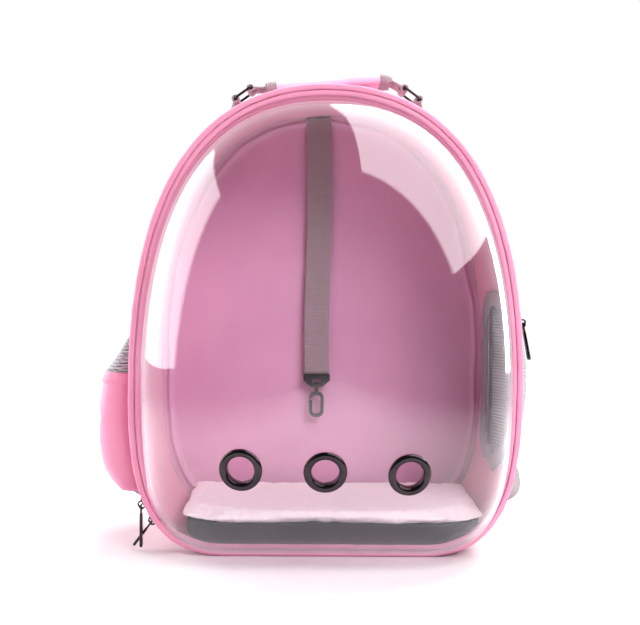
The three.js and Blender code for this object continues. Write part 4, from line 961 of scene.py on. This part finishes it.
# %% [markdown]
# ## The side door
#
# On the right, a zipped door of mesh swells out of the wall. Its edge is a rounded outline, a
# superellipse, drawn on the wall: every point keeps its distance from the wall's surface. The
# zip tape is a band round the hole, with the teeth on it, and inside a binding covers the raw edges.

# %% Side door
FRAME_REACH = 0.0032


def door_band(name, section, material, wobble=0.0, seed=0.0):
    """A closed section of (grow, out) pairs, carried round the door on the wall."""
    rings = []
    for grow, out in section:
        y, z = door_loop(grow, wobble=wobble, seed=seed)
        rings.append(on_side(y, z, out))
    return loft(name, rings, material, looped=True)


frame_section = [
    (0.0055, 0.0008), (0.0055, 0.0021), (0.0046, 0.0028), (0.0025, 0.0029), (0.0014, 0.0031),
    (-0.0014, 0.0031), (-0.0025, 0.0029), (-0.0046, 0.0028), (-0.0055, 0.0021), (-0.0055, 0.0008),
]
window_frame = door_band("door_zip_tape", frame_section, grey_cloth, 0.0004)
settle(window_frame, "grey_cloth", "window_frame")
y, z = door_loop(0, 240)
y, z = np.append(y, y[0]), np.append(z, z[0])
facing = np.tile((1.0, 0, 0), (len(y), 1))
teeth_line = on_side(y, z, FRAME_REACH + 0.0002)
stitch_line = on_side(*door_loop(0.0042, 240), FRAME_REACH - 0.0002)
sewn_row(
    "door_zip_teeth", [(teeth_line, facing)], (0.0013, 0.0030, 0.0011), 0.0017, grey_thread, "grey_cloth",
)
sewn_row(
    "door_stitches", [(stitch_line, facing[:-1])], (0.0032, 0.0007, 0.0006), 0.0042, grey_thread,
    "grey_cloth",
)

binding_section = [
    (-0.009, -0.0037), (-0.0078, -0.003), (-0.003, -0.003), (0.004, -0.003), (0.006, -0.0037),
    (0.006, -0.0053), (0.004, -0.006), (-0.003, -0.0062), (-0.0078, -0.006), (-0.009, -0.0053),
]
binding = door_band("door_binding", binding_section, grey_cloth, 0.0050, 3.0)


def sewn_by_eye(at, out):
    """The binding wanders along the wall, but keeps its distance from it."""
    return np.stack([0 * at[:, 0], waves(at, 42, 5.0) * 0.0035, waves(at, 42, 8.0) * 0.0035], 1)


moved(binding, sewn_by_eye)
puckered(binding, (0.0016, 80, 2.0))
settle(binding, "grey_cloth", "window_binding")

MESH_BULGE, MESH_BASE, MESH_THICK = 0.016, 0.0035, 0.0012


def door_mesh_ring(share, deep):
    y, z = door_loop(-0.00275 - deep * 0.5, share=share)
    return on_side(y, z, MESH_BASE + MESH_BULGE * (1 - share ** 2.4) - deep)


mesh_shares = [0.02, *np.linspace(0.1, 1, 13)]
mesh_rings = [door_mesh_ring(s, 0) for s in mesh_shares]
mesh_rings += [door_mesh_ring(s, MESH_THICK) for s in mesh_shares[::-1]]
window = loft("door_mesh", mesh_rings, grey_mesh)
planar(window, 1, 2)
puckered(window, (0.0007, 20, 6.0))
settle(window, "grey_mesh", "window_mesh")

# %% [markdown]
# ## The pocket
#
# The pocket on the left is gathered cloth, sewn to the wall along its sides and bottom and open
# at the top, with a mesh that closes the gap to the wall above it. It is one surface given a
# wall by a Solidify modifier. Gathers fan out from the seams, and one crease runs across the
# front, because the pocket has been folded flat for packing.

# %% Pocket
pocket_low, pocket_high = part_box("pocket")
POCKET_HEIGHT = pocket_high.z - pocket_low.z
POCKET_HALF = 0.0581
POCKET_Y = 0.0015
POCKET_REACH, POCKET_CLOTH, POCKET_BASE = 0.038, 0.002, 0.0011
POCKET_ROWS = np.array([  # share of the height, share of the reach, share of the depth
    (0, 0.74, 0.92), (0.07, 0.88, 0.95), (0.2, 0.98, 0.975), (0.42, 1, 1), (0.66, 0.97, 0.985),
    (0.85, 0.88, 0.97), (1, 0.77, 0.95),
])


def pocket_row(z, reach, half, base, steps=56):
    angle = np.linspace(0, math.pi, steps)
    y = POCKET_Y - half * np.sign(np.cos(angle)) * np.abs(np.cos(angle)) ** 0.5
    return on_side(y, np.full(steps, z), base + (reach - base) * np.abs(np.sin(angle)) ** 0.42, side=-1)


def thick(piece, thickness):
    """Gives a surface a wall, inward from where it is."""
    wall_of = piece.modifiers.new("wall", "SOLIDIFY")
    wall_of.thickness, wall_of.offset, wall_of.use_rim = thickness, -1.0, True
    return baked(piece)


rings = []
for fill in (0.0, 0.35, 0.7, 0.92):
    reach, half = POCKET_REACH * POCKET_ROWS[0, 1] * fill, POCKET_HALF * (0.86 + 0.04 * fill)
    rings.append(pocket_row(pocket_low.z, reach, half, POCKET_BASE))
for share in np.linspace(0.012, 1, 34):
    reach, half = (np.interp(share, POCKET_ROWS[:, 0], POCKET_ROWS[:, k]) for k in (1, 2))
    z = pocket_low.z + share * POCKET_HEIGHT
    rings.append(pocket_row(z, POCKET_REACH * reach, POCKET_HALF * half, POCKET_BASE))
pocket = loft("pocket_cloth", rings, pink_cloth, closed=False)


def pocket_folds(at, out):
    """Gathers that fade upward, one crease across, and still seams."""
    share = (at[:, 2] - pocket_low.z) / POCKET_HEIGHT
    side = np.abs(at[:, 1] - POCKET_Y) / POCKET_HALF
    gathers = waves(at * (1, 1, 0.35), 75, 3.0) * 0.0022 * (np.exp(-share / 0.22) + 0.25)
    crease = -0.0024 * np.exp(-((share - 0.62 - 0.3 * (at[:, 1] + 0.02)) / 0.035) ** 2) * (side < 0.85)
    held = np.clip((1 - side) / 0.12, 0, 1) * np.clip(share / 0.02, 0, 1)
    return out * ((gathers + crease + 0.001 * waves(at, 18, 5.0)) * held)[:, None]


face_left(pocket)
moved(pocket, pocket_folds)
thick(pocket, POCKET_CLOTH)
settle(pocket, "pink_cloth", "pocket")

top_reach, top_half = POCKET_REACH * POCKET_ROWS[-1, 1], POCKET_HALF * POCKET_ROWS[-1, 2]
hem_rings = []
HEM_ROWS = (0.0115, 0.0004), (0.0095, 0.0011), (0.005, 0.0012), (0.0012, 0.0010), (-0.0002, 0.0002)
for drop, grow in HEM_ROWS:
    reach = top_reach * (1 + 0.14 * drop / 0.022) + grow
    hem_rings.append(pocket_row(pocket_high.z - drop, reach, top_half + grow, 0.0013))
hem = loft("pocket_hem", hem_rings, pink_cloth, closed=False)
face_left(hem)
puckered(hem, (0.0005, 90, 8.0))
thick(hem, 0.0008)
settle(hem, "pink_cloth")
hem_line = pocket_row(
    pocket_high.z - 0.0085, top_reach * 1.055 + 0.0016, top_half + 0.0016, 0.0013, 90,
)
hem_outs = np.gradient(hem_line, axis=0)[:, [1, 0, 2]] * (-1, 1, 0) + (1e-9, 0, 0)
sewn_row("pocket_stitches", [(hem_line, hem_outs)], (0.0034, 0.0008, 0.0006), 0.0045)

mesh_low, mesh_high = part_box("pocket_mesh")
mesh_rings = []
for share in np.linspace(0, 1, 14):
    reach = top_reach + (0.0018 - top_reach) * share
    z = mesh_low.z + share * (mesh_high.z - mesh_low.z)
    mesh_rings.append(pocket_row(z, reach, top_half * (1 - 0.12 * share), 0.0006))
pocket_net = loft("pocket_net", mesh_rings, grey_mesh, closed=False)
face_left(pocket_net)
planar(pocket_net, 1, 2)
puckered(pocket_net, (0.0012, 28, 2.0))
thick(pocket_net, MESH_THICK)
settle(pocket_net, "grey_mesh", "pocket_mesh")

# %% [markdown]
# ## The floor pad
#
# The pad is foam in a dark cover, with pale plush on top. Both pieces start as the CAD solids,
# are turned to an even mesh by a voxel remesh, and are then blown up a little by the Cloth
# simulation's pressure, which gives the soft edges and shallow dents of a stuffed piece.
# The simulation runs here, its result is kept, and the Cloth modifier goes.

# %% Cloth simulation
CLOTH_FRAMES, CLOTH_STIFFNESS, CLOTH_PRESSURE = 20, 18, 3.0


def from_node(name, node, material, voxel, rounds=0):
    """A piece from a CAD solid, turned to an even mesh and smoothed for some rounds."""
    work = bmesh.new()
    work.from_mesh(frame["nodes"][node].data)
    bmesh.ops.remove_doubles(work, verts=work.verts, dist=1e-5)
    mesh = bpy.data.meshes.new(name)
    work.to_mesh(mesh)
    work.free()
    mesh.materials.clear()
    mesh.materials.append(material)
    piece = linked(name, mesh)
    grid = piece.modifiers.new("grid", "REMESH")
    grid.mode, grid.voxel_size = "VOXEL", voxel
    if rounds:
        smooth = piece.modifiers.new("smooth", "SMOOTH")
        smooth.factor, smooth.iterations = 0.5, rounds
    return baked(piece)


def dressed(piece):
    """A remeshed piece with smooth faces and an empty thread map."""
    piece.data.uv_layers.new(name="thread")
    smooth_faces(piece.data)
    return piece


def stuffed(name, node, material, voxel, cap, shrink):
    """A padded piece from a CAD solid: remeshed, simulated, and capped in how far it swells."""
    piece = from_node(name, node, material, voxel)
    moved(piece, lambda at, out: -out * shrink)
    start = places_of(piece.data)
    cloth = piece.modifiers.new("cloth", "CLOTH")
    cloth.settings.quality = 5
    cloth.settings.tension_stiffness = cloth.settings.compression_stiffness = CLOTH_STIFFNESS
    cloth.settings.bending_stiffness = 0.8
    cloth.settings.use_pressure = True
    cloth.settings.uniform_pressure_force = CLOTH_PRESSURE
    cloth.settings.effector_weights.gravity = 0
    cloth.point_cache.frame_start, cloth.point_cache.frame_end = 1, CLOTH_FRAMES
    for step in range(1, CLOTH_FRAMES + 1):
        scene.frame_set(step)
    graph = bpy.context.evaluated_depsgraph_get()
    end = places_of(piece.evaluated_get(graph).data)
    piece.modifiers.clear()
    move = end - start
    length = np.linalg.norm(move, axis=1)[:, None]
    move *= np.minimum(1, cap / np.maximum(length, 1e-9))
    piece.data.vertices.foreach_set("co", (start + move).ravel())
    print(name, "moved by up to", round(float(np.minimum(length, cap).max()) * 1000, 1), "mm")
    scene.frame_set(1)
    finer = piece.modifiers.new("finer", "SUBSURF")
    finer.levels = finer.render_levels = 1
    baked(piece)
    planar(dressed(piece), 0, 1)
    return piece


def spread_right(at, out):
    """The pad is pressed against the right wall, above the wall's rounded foot."""
    lift = np.clip((at[:, 2] - 0.016) / 0.012, 0, 1)
    share = np.clip((at[:, 0] - 0.02) / 0.116, 0, 1)
    return np.stack([0.0105 * lift * share, 0 * lift, 0 * lift], 1)


plush_top = stuffed("pad_plush", "pad_top", pale_plush, 0.0028, 0.0045, 0.0006)
puckered(plush_top, (0.0016, 30, 1.0), (0.0007, 210, 6.0))
moved(plush_top, spread_right)
settle(plush_top, "pale_plush", "pad_top")

# The cover's colour is partly its own dark grey and partly painted shade for the shadow in front of the
# pad.
foam = stuffed("pad_foam", "pad_base", dark_cloth, 0.0045, 0.003, 0.002)
planar(foam, 0, 2)
puckered(foam, (0.0010, 24, 4.0))
moved(foam, spread_right)
settle(foam, "dark_cloth", "pad_base")

# %% [markdown]
# ## The leash
#
# A short leash hangs inside, so that the animal can be clipped in. It is webbing sewn into the
# seam at the top, and its lower end is folded round a bow with a swivel hook. Webbing keeps its
# width and bends only one way, so it is made by carrying a thin section along a smooth path.

# %% Paths and webbing


def smooth_line(points, count, knots=0.5):
    """Evenly spaced points on a smooth curve (Catmull-Rom) through the given ones. With knots at 0
    every stretch counts alike, and at 0.5 long stretches count for more, which bends the curve less."""
    points = np.asarray(points, float)
    ends = np.vstack([2 * points[0] - points[1], points, 2 * points[-1] - points[-2]])
    fine = []
    for a, b, c, d in zip(ends, ends[1:], ends[2:], ends[3:]):
        before, here, after = (np.linalg.norm(q - p) ** knots for p, q in ((a, b), (b, c), (c, d)))
        leave = ((b - a) / before - (c - a) / (before + here) + (c - b) / here) * here
        arrive = ((c - b) / here - (d - b) / (here + after) + (d - c) / after) * here
        square, cube = 3 * (c - b) - 2 * leave - arrive, 2 * (b - c) + leave + arrive
        for t in np.linspace(0, 1, 24, endpoint=False):
            fine.append(b + leave * t + square * t ** 2 + cube * t ** 3)
    return spread(np.vstack([fine, points[-1:]]), count)


def carried(name, path, sides, width, thickness, material, profile, hollow=None):
    """A profile of (across, up) shares, carried along a path. width and thickness are one number, or
    one for each point. hollow is the width and thickness of a channel through it."""
    path, sides = np.asarray(path), unit(np.asarray(sides, float))
    up = np.cross(sides, unit(np.gradient(path, axis=0)))

    def rings(width, thickness):
        return [
            [p + s * a * w / 2 + u * b * t / 2 for a, b in profile] for p, s, u, w, t in zip(
                path, sides, up, np.broadcast_to(width, len(path)), np.broadcast_to(thickness, len(path)),
            )
        ]

    if hollow:
        return loft(name, rings(width, thickness) + rings(*hollow)[::-1], material, looped=True)
    return loft(name, rings(width, thickness), material)


def bent(value, power):
    return np.sign(value) * np.abs(value) ** (2 / power)


def soft_profile(square, flat, steps):
    """A flattened round profile. square makes its ends squarer, flat its faces flatter."""
    turn = np.linspace(0, 2 * math.pi, steps, endpoint=False)
    return list(zip(bent(np.cos(turn), square), bent(np.sin(turn), flat)))


def along_route(piece, path, sides):
    """The thread map of webbing: metres along its path, and across it."""
    fine = spread(np.hstack([path, sides]), 400)
    at, side = fine[:, :3], fine[:, 3:]
    metres = np.concatenate([[0], np.cumsum(np.linalg.norm(np.diff(at, axis=0), axis=1))])
    places = places_of(piece.data)
    nearest = np.array([np.argmin(((at - p) ** 2).sum(1)) for p in places])
    across = ((places - at[nearest]) * side[nearest]).sum(1)
    set_thread(piece.data, np.stack([metres[nearest], across], 1))


webbing_profile = soft_profile(9, 3, 20)
print("the webbing's profile has", len(webbing_profile), "points")

# %% Leash
LEASH_WIDTH, WEBBING = 0.025, 0.0018
LEASH_POINTS = [  # millimetres, from the seam at the top down to the fitting
    (-6, 81.6, 409.6), (-6, 77.4, 393.9), (-6, 74.5, 360), (-6, 73.6, 280), (-6, 73.5, 200),
    (-6, 73.5, 147.8),
]
leash_path = smooth_line(np.array(LEASH_POINTS) / 1000, 90, knots=0)
share = np.linspace(0, 1, 90)
leash_path[:, 0] += 0.0012 * np.sin(share * 5.0) * share * (1 - share) * 4
leash_sides = np.stack([np.ones(90), 0.16 * np.sin(share * 7) * (1 - share) * share, 0 * share], 1)
leash = carried(
    "leash_webbing", leash_path, leash_sides, LEASH_WIDTH, WEBBING, grey_webbing, webbing_profile,
)
along_route(leash, leash_path, leash_sides)
settle(leash, "grey_webbing", "leash")

# %% [markdown]
# ### Moulded and cast parts
#
# The hook, the adjusters, the sliders and the pulls have soft edges, as castings and mouldings
# have. Their CAD solids are right but sharp. A fine voxel remesh and a little smoothing round
# every edge at once, which is what a mould with worn corners does.

# %% Moulded parts


def moulded(name, node, material, voxel, rounds=4, body="carrier"):
    """A CAD solid with soft edges."""
    piece = dressed(from_node(name, node, material, voxel, rounds))
    return settle(piece, material.name.split(".")[0], node, body=body)


hook = moulded("hook", "leash_hook", black_plastic, 0.00038, body="hook")
hook_bow = moulded("hook_bow", "leash_loop", black_plastic, 0.0004)

# %% [markdown]
# ## The carrying handle
#
# A length of webbing runs through a padded sleeve of pink cloth, and each of its ends is folded
# round an oblong wire ring. The rings hang on loops that are sewn to the bag. The sleeve is hollow,
# and its ends are hemmed.

# %% Handle
HANDLE_HALF_LENGTH = 0.072
HANDLE_ROWS = [(-1, 5), (-0.8, 5.5), (0, 10), (0.8, 13.5), (1, 6.5)]  # share across, mm above the bag
HANDLE_PAD_WIDTH, HANDLE_PAD_THICK = 0.044, 0.012
HANDLE_SQUARE, HANDLE_FLAT = 3.4, 2.4
HANDLE_CHANNEL = (0.0350, 0.0026)  # the webbing runs through it
handle_profile = soft_profile(HANDLE_SQUARE, HANDLE_FLAT, 40)
handle_points = [(across * HANDLE_HALF_LENGTH, 0, 0.419 + rise / 1000) for across, rise in HANDLE_ROWS]
handle_line = smooth_line(handle_points, 124)
facing_back = np.tile((0, 1.0, 0), (len(handle_line), 1))
webbing = moulded("handle_band", "handle_webbing", grey_webbing, 0.0006, rounds=3)
along_route(webbing, handle_line, facing_back)
sleeve_path = handle_line[(handle_line[:, 0] > -0.0578) & (handle_line[:, 0] < 0.0595)]
end = np.abs(np.linspace(-1, 1, len(sleeve_path)))
sleeve_thick = HANDLE_PAD_THICK * (1 - 0.28 * np.clip((end - 0.86) / 0.14, 0, 1) ** 2)
# The sleeve wears the paler copy of the pink cloth, which is painted light for the strong light from above.
sleeve = carried(
    "handle_sleeve", sleeve_path, facing_back[:len(sleeve_path)], HANDLE_PAD_WIDTH * (1 - 0.04 * end ** 8),
    sleeve_thick, pink_cloth_painted_lit, handle_profile, HANDLE_CHANNEL,
)
puckered(sleeve, (0.0009, 55, 2.0), swell=-0.0003)
settle(sleeve, "pink_cloth", "handle_pad")

for side, part in (("left", slice(0, 10)), ("right", slice(-10, None))):
    cuff = carried(
        f"handle_cuff_{side}", sleeve_path[part], facing_back[:10], HANDLE_PAD_WIDTH * 0.985 + 0.0006,
        sleeve_thick[part] + 0.0012, grey_webbing, handle_profile, HANDLE_CHANNEL,
    )
    along_route(cuff, handle_line, facing_back)
    settle(cuff, "grey_webbing")


def sleeve_line(across, lift):
    """A line on the sleeve's top, and its outward directions."""
    up = np.cross(facing_back[:len(sleeve_path)], unit(np.gradient(sleeve_path, axis=0)))
    share = abs(across / (HANDLE_PAD_WIDTH / 2))
    height = sleeve_thick / 2 * (1 - share ** HANDLE_SQUARE) ** (1 / HANDLE_FLAT)
    return sleeve_path + (0, across, 0) + up * (height + lift)[:, None], up


rows = [sleeve_line(across, 0.0002) for across in (-0.0165, 0.0165)]
sewn_row("handle_stitches", rows, (0.0034, 0.0008, 0.0007), 0.0046)
for side in ("left", "right"):
    moulded(f"handle_ring_{side}", f"ring_{side}", metal, 0.00045, rounds=6)
    loop = moulded(f"handle_loop_{side}", f"ring_loop_{side}", grey_webbing, 0.0006, rounds=3)
    low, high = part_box(f"ring_loop_{side}")
    ends = (high.x, low.x) if side == "left" else (low.x, high.x)
    along_route(loop, [(ends[0], 0, high.z), (ends[1], 0, low.z)], facing_back[:2])

# %% [markdown]
# ## Shoulder straps
#
# A strap is a long pad of foam in grey cloth, with a bound edge all round. A piping hides the
# seam, and a row of stitches just inside it presses the foam down, so the middle stands up.
# From its lower end webbing runs through an adjuster to the bag's seam.

# %% Strap pads
STRAP_WIDTH, STRAP_THICK = 0.056, 0.010
STRAP_START, STRAP_REACH = 0.0898, 0.165  # where behind begins, and how far back a share of 1 lies
PAD_STRETCHES, WEBBING_STRETCHES = 14, 11
STRAP_ROUTES = {  # shares of the half width, of the height and of the reach behind
    "left": {
        "pad": [
            (-0.285, 0.921, 0.024), (-0.319, 0.811, 0.085), (-0.422, 0.644, 0.182), (-0.63, 0.489, 0.218),
            (-0.885, 0.358, 0.158), (-1.048, 0.267, 0.085),
        ],
        "webbing": [
            (-1.15, 0.172, 0.055), (-1.188, 0.131, 0.042), (-1.12, 0.086, 0.042), (-0.98, 0.057, 0.042),
            (-0.78, 0.062, 0.036),
        ],
    },
    "right": {
        "pad": [
            (0.285, 0.921, 0.024), (0.325, 0.764, 0.097), (0.456, 0.573, 0.206), (0.695, 0.358, 0.291),
            (0.955, 0.167, 0.28), (1.068, 0.075, 0.21), (1.082, 0.04, 0.155), (1.05, 0.031, 0.11),
        ],
        "webbing": [
            (0.985, 0.11, 0.055), (0.946, 0.143, 0.048), (0.855, 0.2, 0.046), (0.752, 0.239, 0.04),
        ],
    },
}


def strap_line(shares, stretches, count):
    """A smooth line over the CAD strap's straight stretches, its crosswise directions, and its own."""
    across, up, behind = np.array(shares).T
    places = [across * WIDTH / 2, STRAP_START + behind * STRAP_REACH, up * HEIGHT]
    corners = smooth_line(np.stack(places, 1), stretches + 1)
    path = smooth_line(corners, count, knots=0)
    along = unit(np.gradient(path, axis=0))
    return path, np.array((1.0, 0, 0)) - along * along[:, :1], along


round_bar = [(math.cos(a), math.sin(a)) for a in np.linspace(0, 2 * math.pi, 10, endpoint=False)]
pad_profile = soft_profile(5, 2.0, 44)
for side, route in STRAP_ROUTES.items():
    path, across, along = strap_line(route["pad"], PAD_STRETCHES, 110)
    across = unit(across)
    share = np.linspace(0, 1, len(path))
    narrow = np.sqrt(1 - 0.7 * np.clip((np.abs(share - 0.5) - 0.44) / 0.06, 0, 1) ** 2)
    width, thickness = STRAP_WIDTH * narrow - 0.002, STRAP_THICK * (0.55 + 0.45 * narrow)
    pad = carried(f"strap_pad_{side}", path, across, width, thickness, grey_cloth, pad_profile)
    puckered(pad, (0.0008, 30, 3.0), (0.0003, 110, 1.0), swell=-0.0004)
    settle(pad, "grey_cloth", f"strap_{side}")
    for edge_name, sign in (("inner", -1), ("outer", 1)):
        line = path + across * (sign * (width / 2 - 0.0006))[:, None]
        piping_name = f"strap_piping_{edge_name}_{side}"
        settle(carried(piping_name, line, across, 0.0034, 0.0034, grey_webbing, round_bar), "grey_cloth")
    lines = []
    for sign in (-1, 1):
        for face in (-1, 1):
            inset = sign * (width / 2 - 0.0065)
            lift = thickness / 2 * (1 - (np.abs(inset) / (width / 2)) ** 5) ** 0.5 - 0.0001
            up = np.cross(across, along) * face
            lines.append((path + across * inset[:, None] + up * lift[:, None], up))
    sewn_row(
        f"strap_stitches_{side}", lines, (0.0036, 0.0008, 0.0007), 0.0048, grey_thread, "grey_cloth",
    )

# %% Adjusters and webbing
for side, route in STRAP_ROUTES.items():
    path, across, along = strap_line(route["pad"][-1:] + route["webbing"], WEBBING_STRETCHES, 40)
    moulded(f"adjuster_bar_{side}", f"adjuster_{side}", black_plastic, 0.0005)
    for name in ("loop", "webbing"):
        piece = moulded(f"strap_{name}_band_{side}", f"strap_{name}_{side}", grey_webbing, 0.0006, rounds=3)
        along_route(piece, path, across)

# %% [markdown]
# ## Sliders and pulls
#
# The front zip has two sliders, side by side at the lower left where it closes, and the side
# door has one. Their pulls swing on the sliders' crowns, so each pull rides on a body of its own.

# %% Sliders and pulls
SLIDERS = {
    "upper": ("zip_slider_upper", "zip_pull_upper"), "lower": ("zip_slider_lower", "zip_pull_lower"),
    "side": ("side_slider", "side_pull"),
}
PIVOTS = {joint["child"]: joint["pos_m"] for joint in frame["joints"]}
for name, (slider, pull) in SLIDERS.items():
    moulded(f"slider_{name}", slider, metal, 0.00028)
    tab = moulded(f"pull_{name}", pull, metal, 0.00022, body=f"pull_{name}")

    def stouter(at, out, pivot=PIVOTS[f"pull_{name}"]):
        """The tab is a little thicker than the arms at its pivot."""
        away = np.clip((np.linalg.norm(at - pivot, axis=1) - 0.007) / 0.003, 0, 1)
        return out * (away * 0.0004)[:, None]

    moved(tab, stouter)

# %% [markdown]
# ## Floor and light
#
# The object stands on a pale floor in a white room. Two soft lamps on the right are only seen as
# bright patches in the dome, and a third, on the left, lights the bag too. Two more, above and in
# front, light the cloth and what is inside, and aren't mirrored.

# %% Floor
FLOOR_RADIUS, FLOOR_SIDES, FLOOR_DROP = 4, 64, 0.0002
floor_finish = Finish("pale_floor")
grain = floor_finish.clouds(6, 2.0)
paper = floor_finish.principled(
    Base_Color=floor_finish.blend(grain, (0.76, 0.745, 0.75, 1), (0.79, 0.78, 0.785, 1)), Roughness=0.6,
    Specular_IOR_Level=0.2,
)
reach = floor_finish.node("VectorMath", {"operation": "LENGTH"}, {0: floor_finish.place()}, output="Value")
fading = floor_finish.limited(reach * 1.25 - 0.75)
floor_material = floor_finish.done(floor_finish.node(
    "MixShader", None, {0: fading, 1: paper, 2: floor_finish.node("BsdfTransparent")},
))
floor_mesh = bpy.data.meshes.new("floor")
corners = [2 * math.pi * i / FLOOR_SIDES for i in range(FLOOR_SIDES)]
circle = [(FLOOR_RADIUS * math.cos(a), FLOOR_RADIUS * math.sin(a), -FLOOR_DROP) for a in corners]
floor_mesh.from_pydata(circle, [], [tuple(range(FLOOR_SIDES))])
floor_mesh.materials.append(floor_material)
linked("floor", floor_mesh)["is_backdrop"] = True


# %% Lamps
LAMP_AIM = Vector((0, 0, 0.2))


def softbox(name, place, size, power, diffuse=True, glossy=True):
    lamp = bpy.data.lights.new(name, "AREA")
    lamp.shape, lamp.size, lamp.size_y = "RECTANGLE", size[0], size[1]
    lamp.energy = power
    holder = linked(name, lamp)
    holder.location = place
    holder.rotation_euler = (LAMP_AIM - Vector(place)).to_track_quat("-Z", "Y").to_euler()
    holder.visible_camera, holder.visible_diffuse, holder.visible_glossy = False, diffuse, glossy


softbox("strip_right", (1.05, 0.85, 0.5), (0.17, 0.9), 10, diffuse=False)
softbox("strip_left", (-1.15, 0.25, 0.62), (1.25, 1.1), 22)
softbox("overhead_right", (0.95, 0.15, 1.35), (2.4, 1.9), 70, diffuse=False)
softbox("front_fill", (0.75, -1.45, 1.3), (1.0, 0.8), 32, glossy=False)
softbox("key_above", (0.45, 0.5, 1.5), (1.7, 1.0), 62, glossy=False)

# %% [markdown]
# The room itself is white for the camera, dim for what it lights, and for reflections it goes from
# dark in front to bright behind.

# %% Room
room = bpy.data.worlds.new("room")
room.use_nodes = True
tree = room.node_tree
ray = add_node(tree, "ShaderNodeLightPath").outputs
direction = add_node(tree, "ShaderNodeTexCoord").outputs["Generated"]
parts = add_node(tree, "ShaderNodeSeparateXYZ", None, {0: direction})
backdrop = add_node(tree, "ShaderNodeMapRange", None, {
    "Value": parts.outputs["Y"], "From Min": -0.1, "From Max": 0.75, "To Min": 0.12, "To Max": 1.3,
})
mirrored = add_node(tree, "ShaderNodeMix", None, {
    "Factor": ray["Is Glossy Ray"], "A": 0.24, "B": backdrop.outputs["Result"],
})
strength = add_node(tree, "ShaderNodeMath", {"operation": "MAXIMUM"}, {
    0: ray["Is Camera Ray"], 1: mirrored.outputs["Result"],
})
background = tree.nodes["Background"].inputs
tree.links.new(strength.outputs[0], background["Strength"])
background["Color"].default_value = (1, 1, 1, 1)
scene.world = room
scene.view_settings.view_transform = "Standard"

# %% Sizes and the end
new_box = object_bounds()
for axis, a, b, c, d in zip("xyz", cad_box[0], cad_box[1], new_box[0], new_box[1]):
    print(axis, "CAD", round(a, 4), round(b, 4), "visual", round(c, 4), round(d, 4))
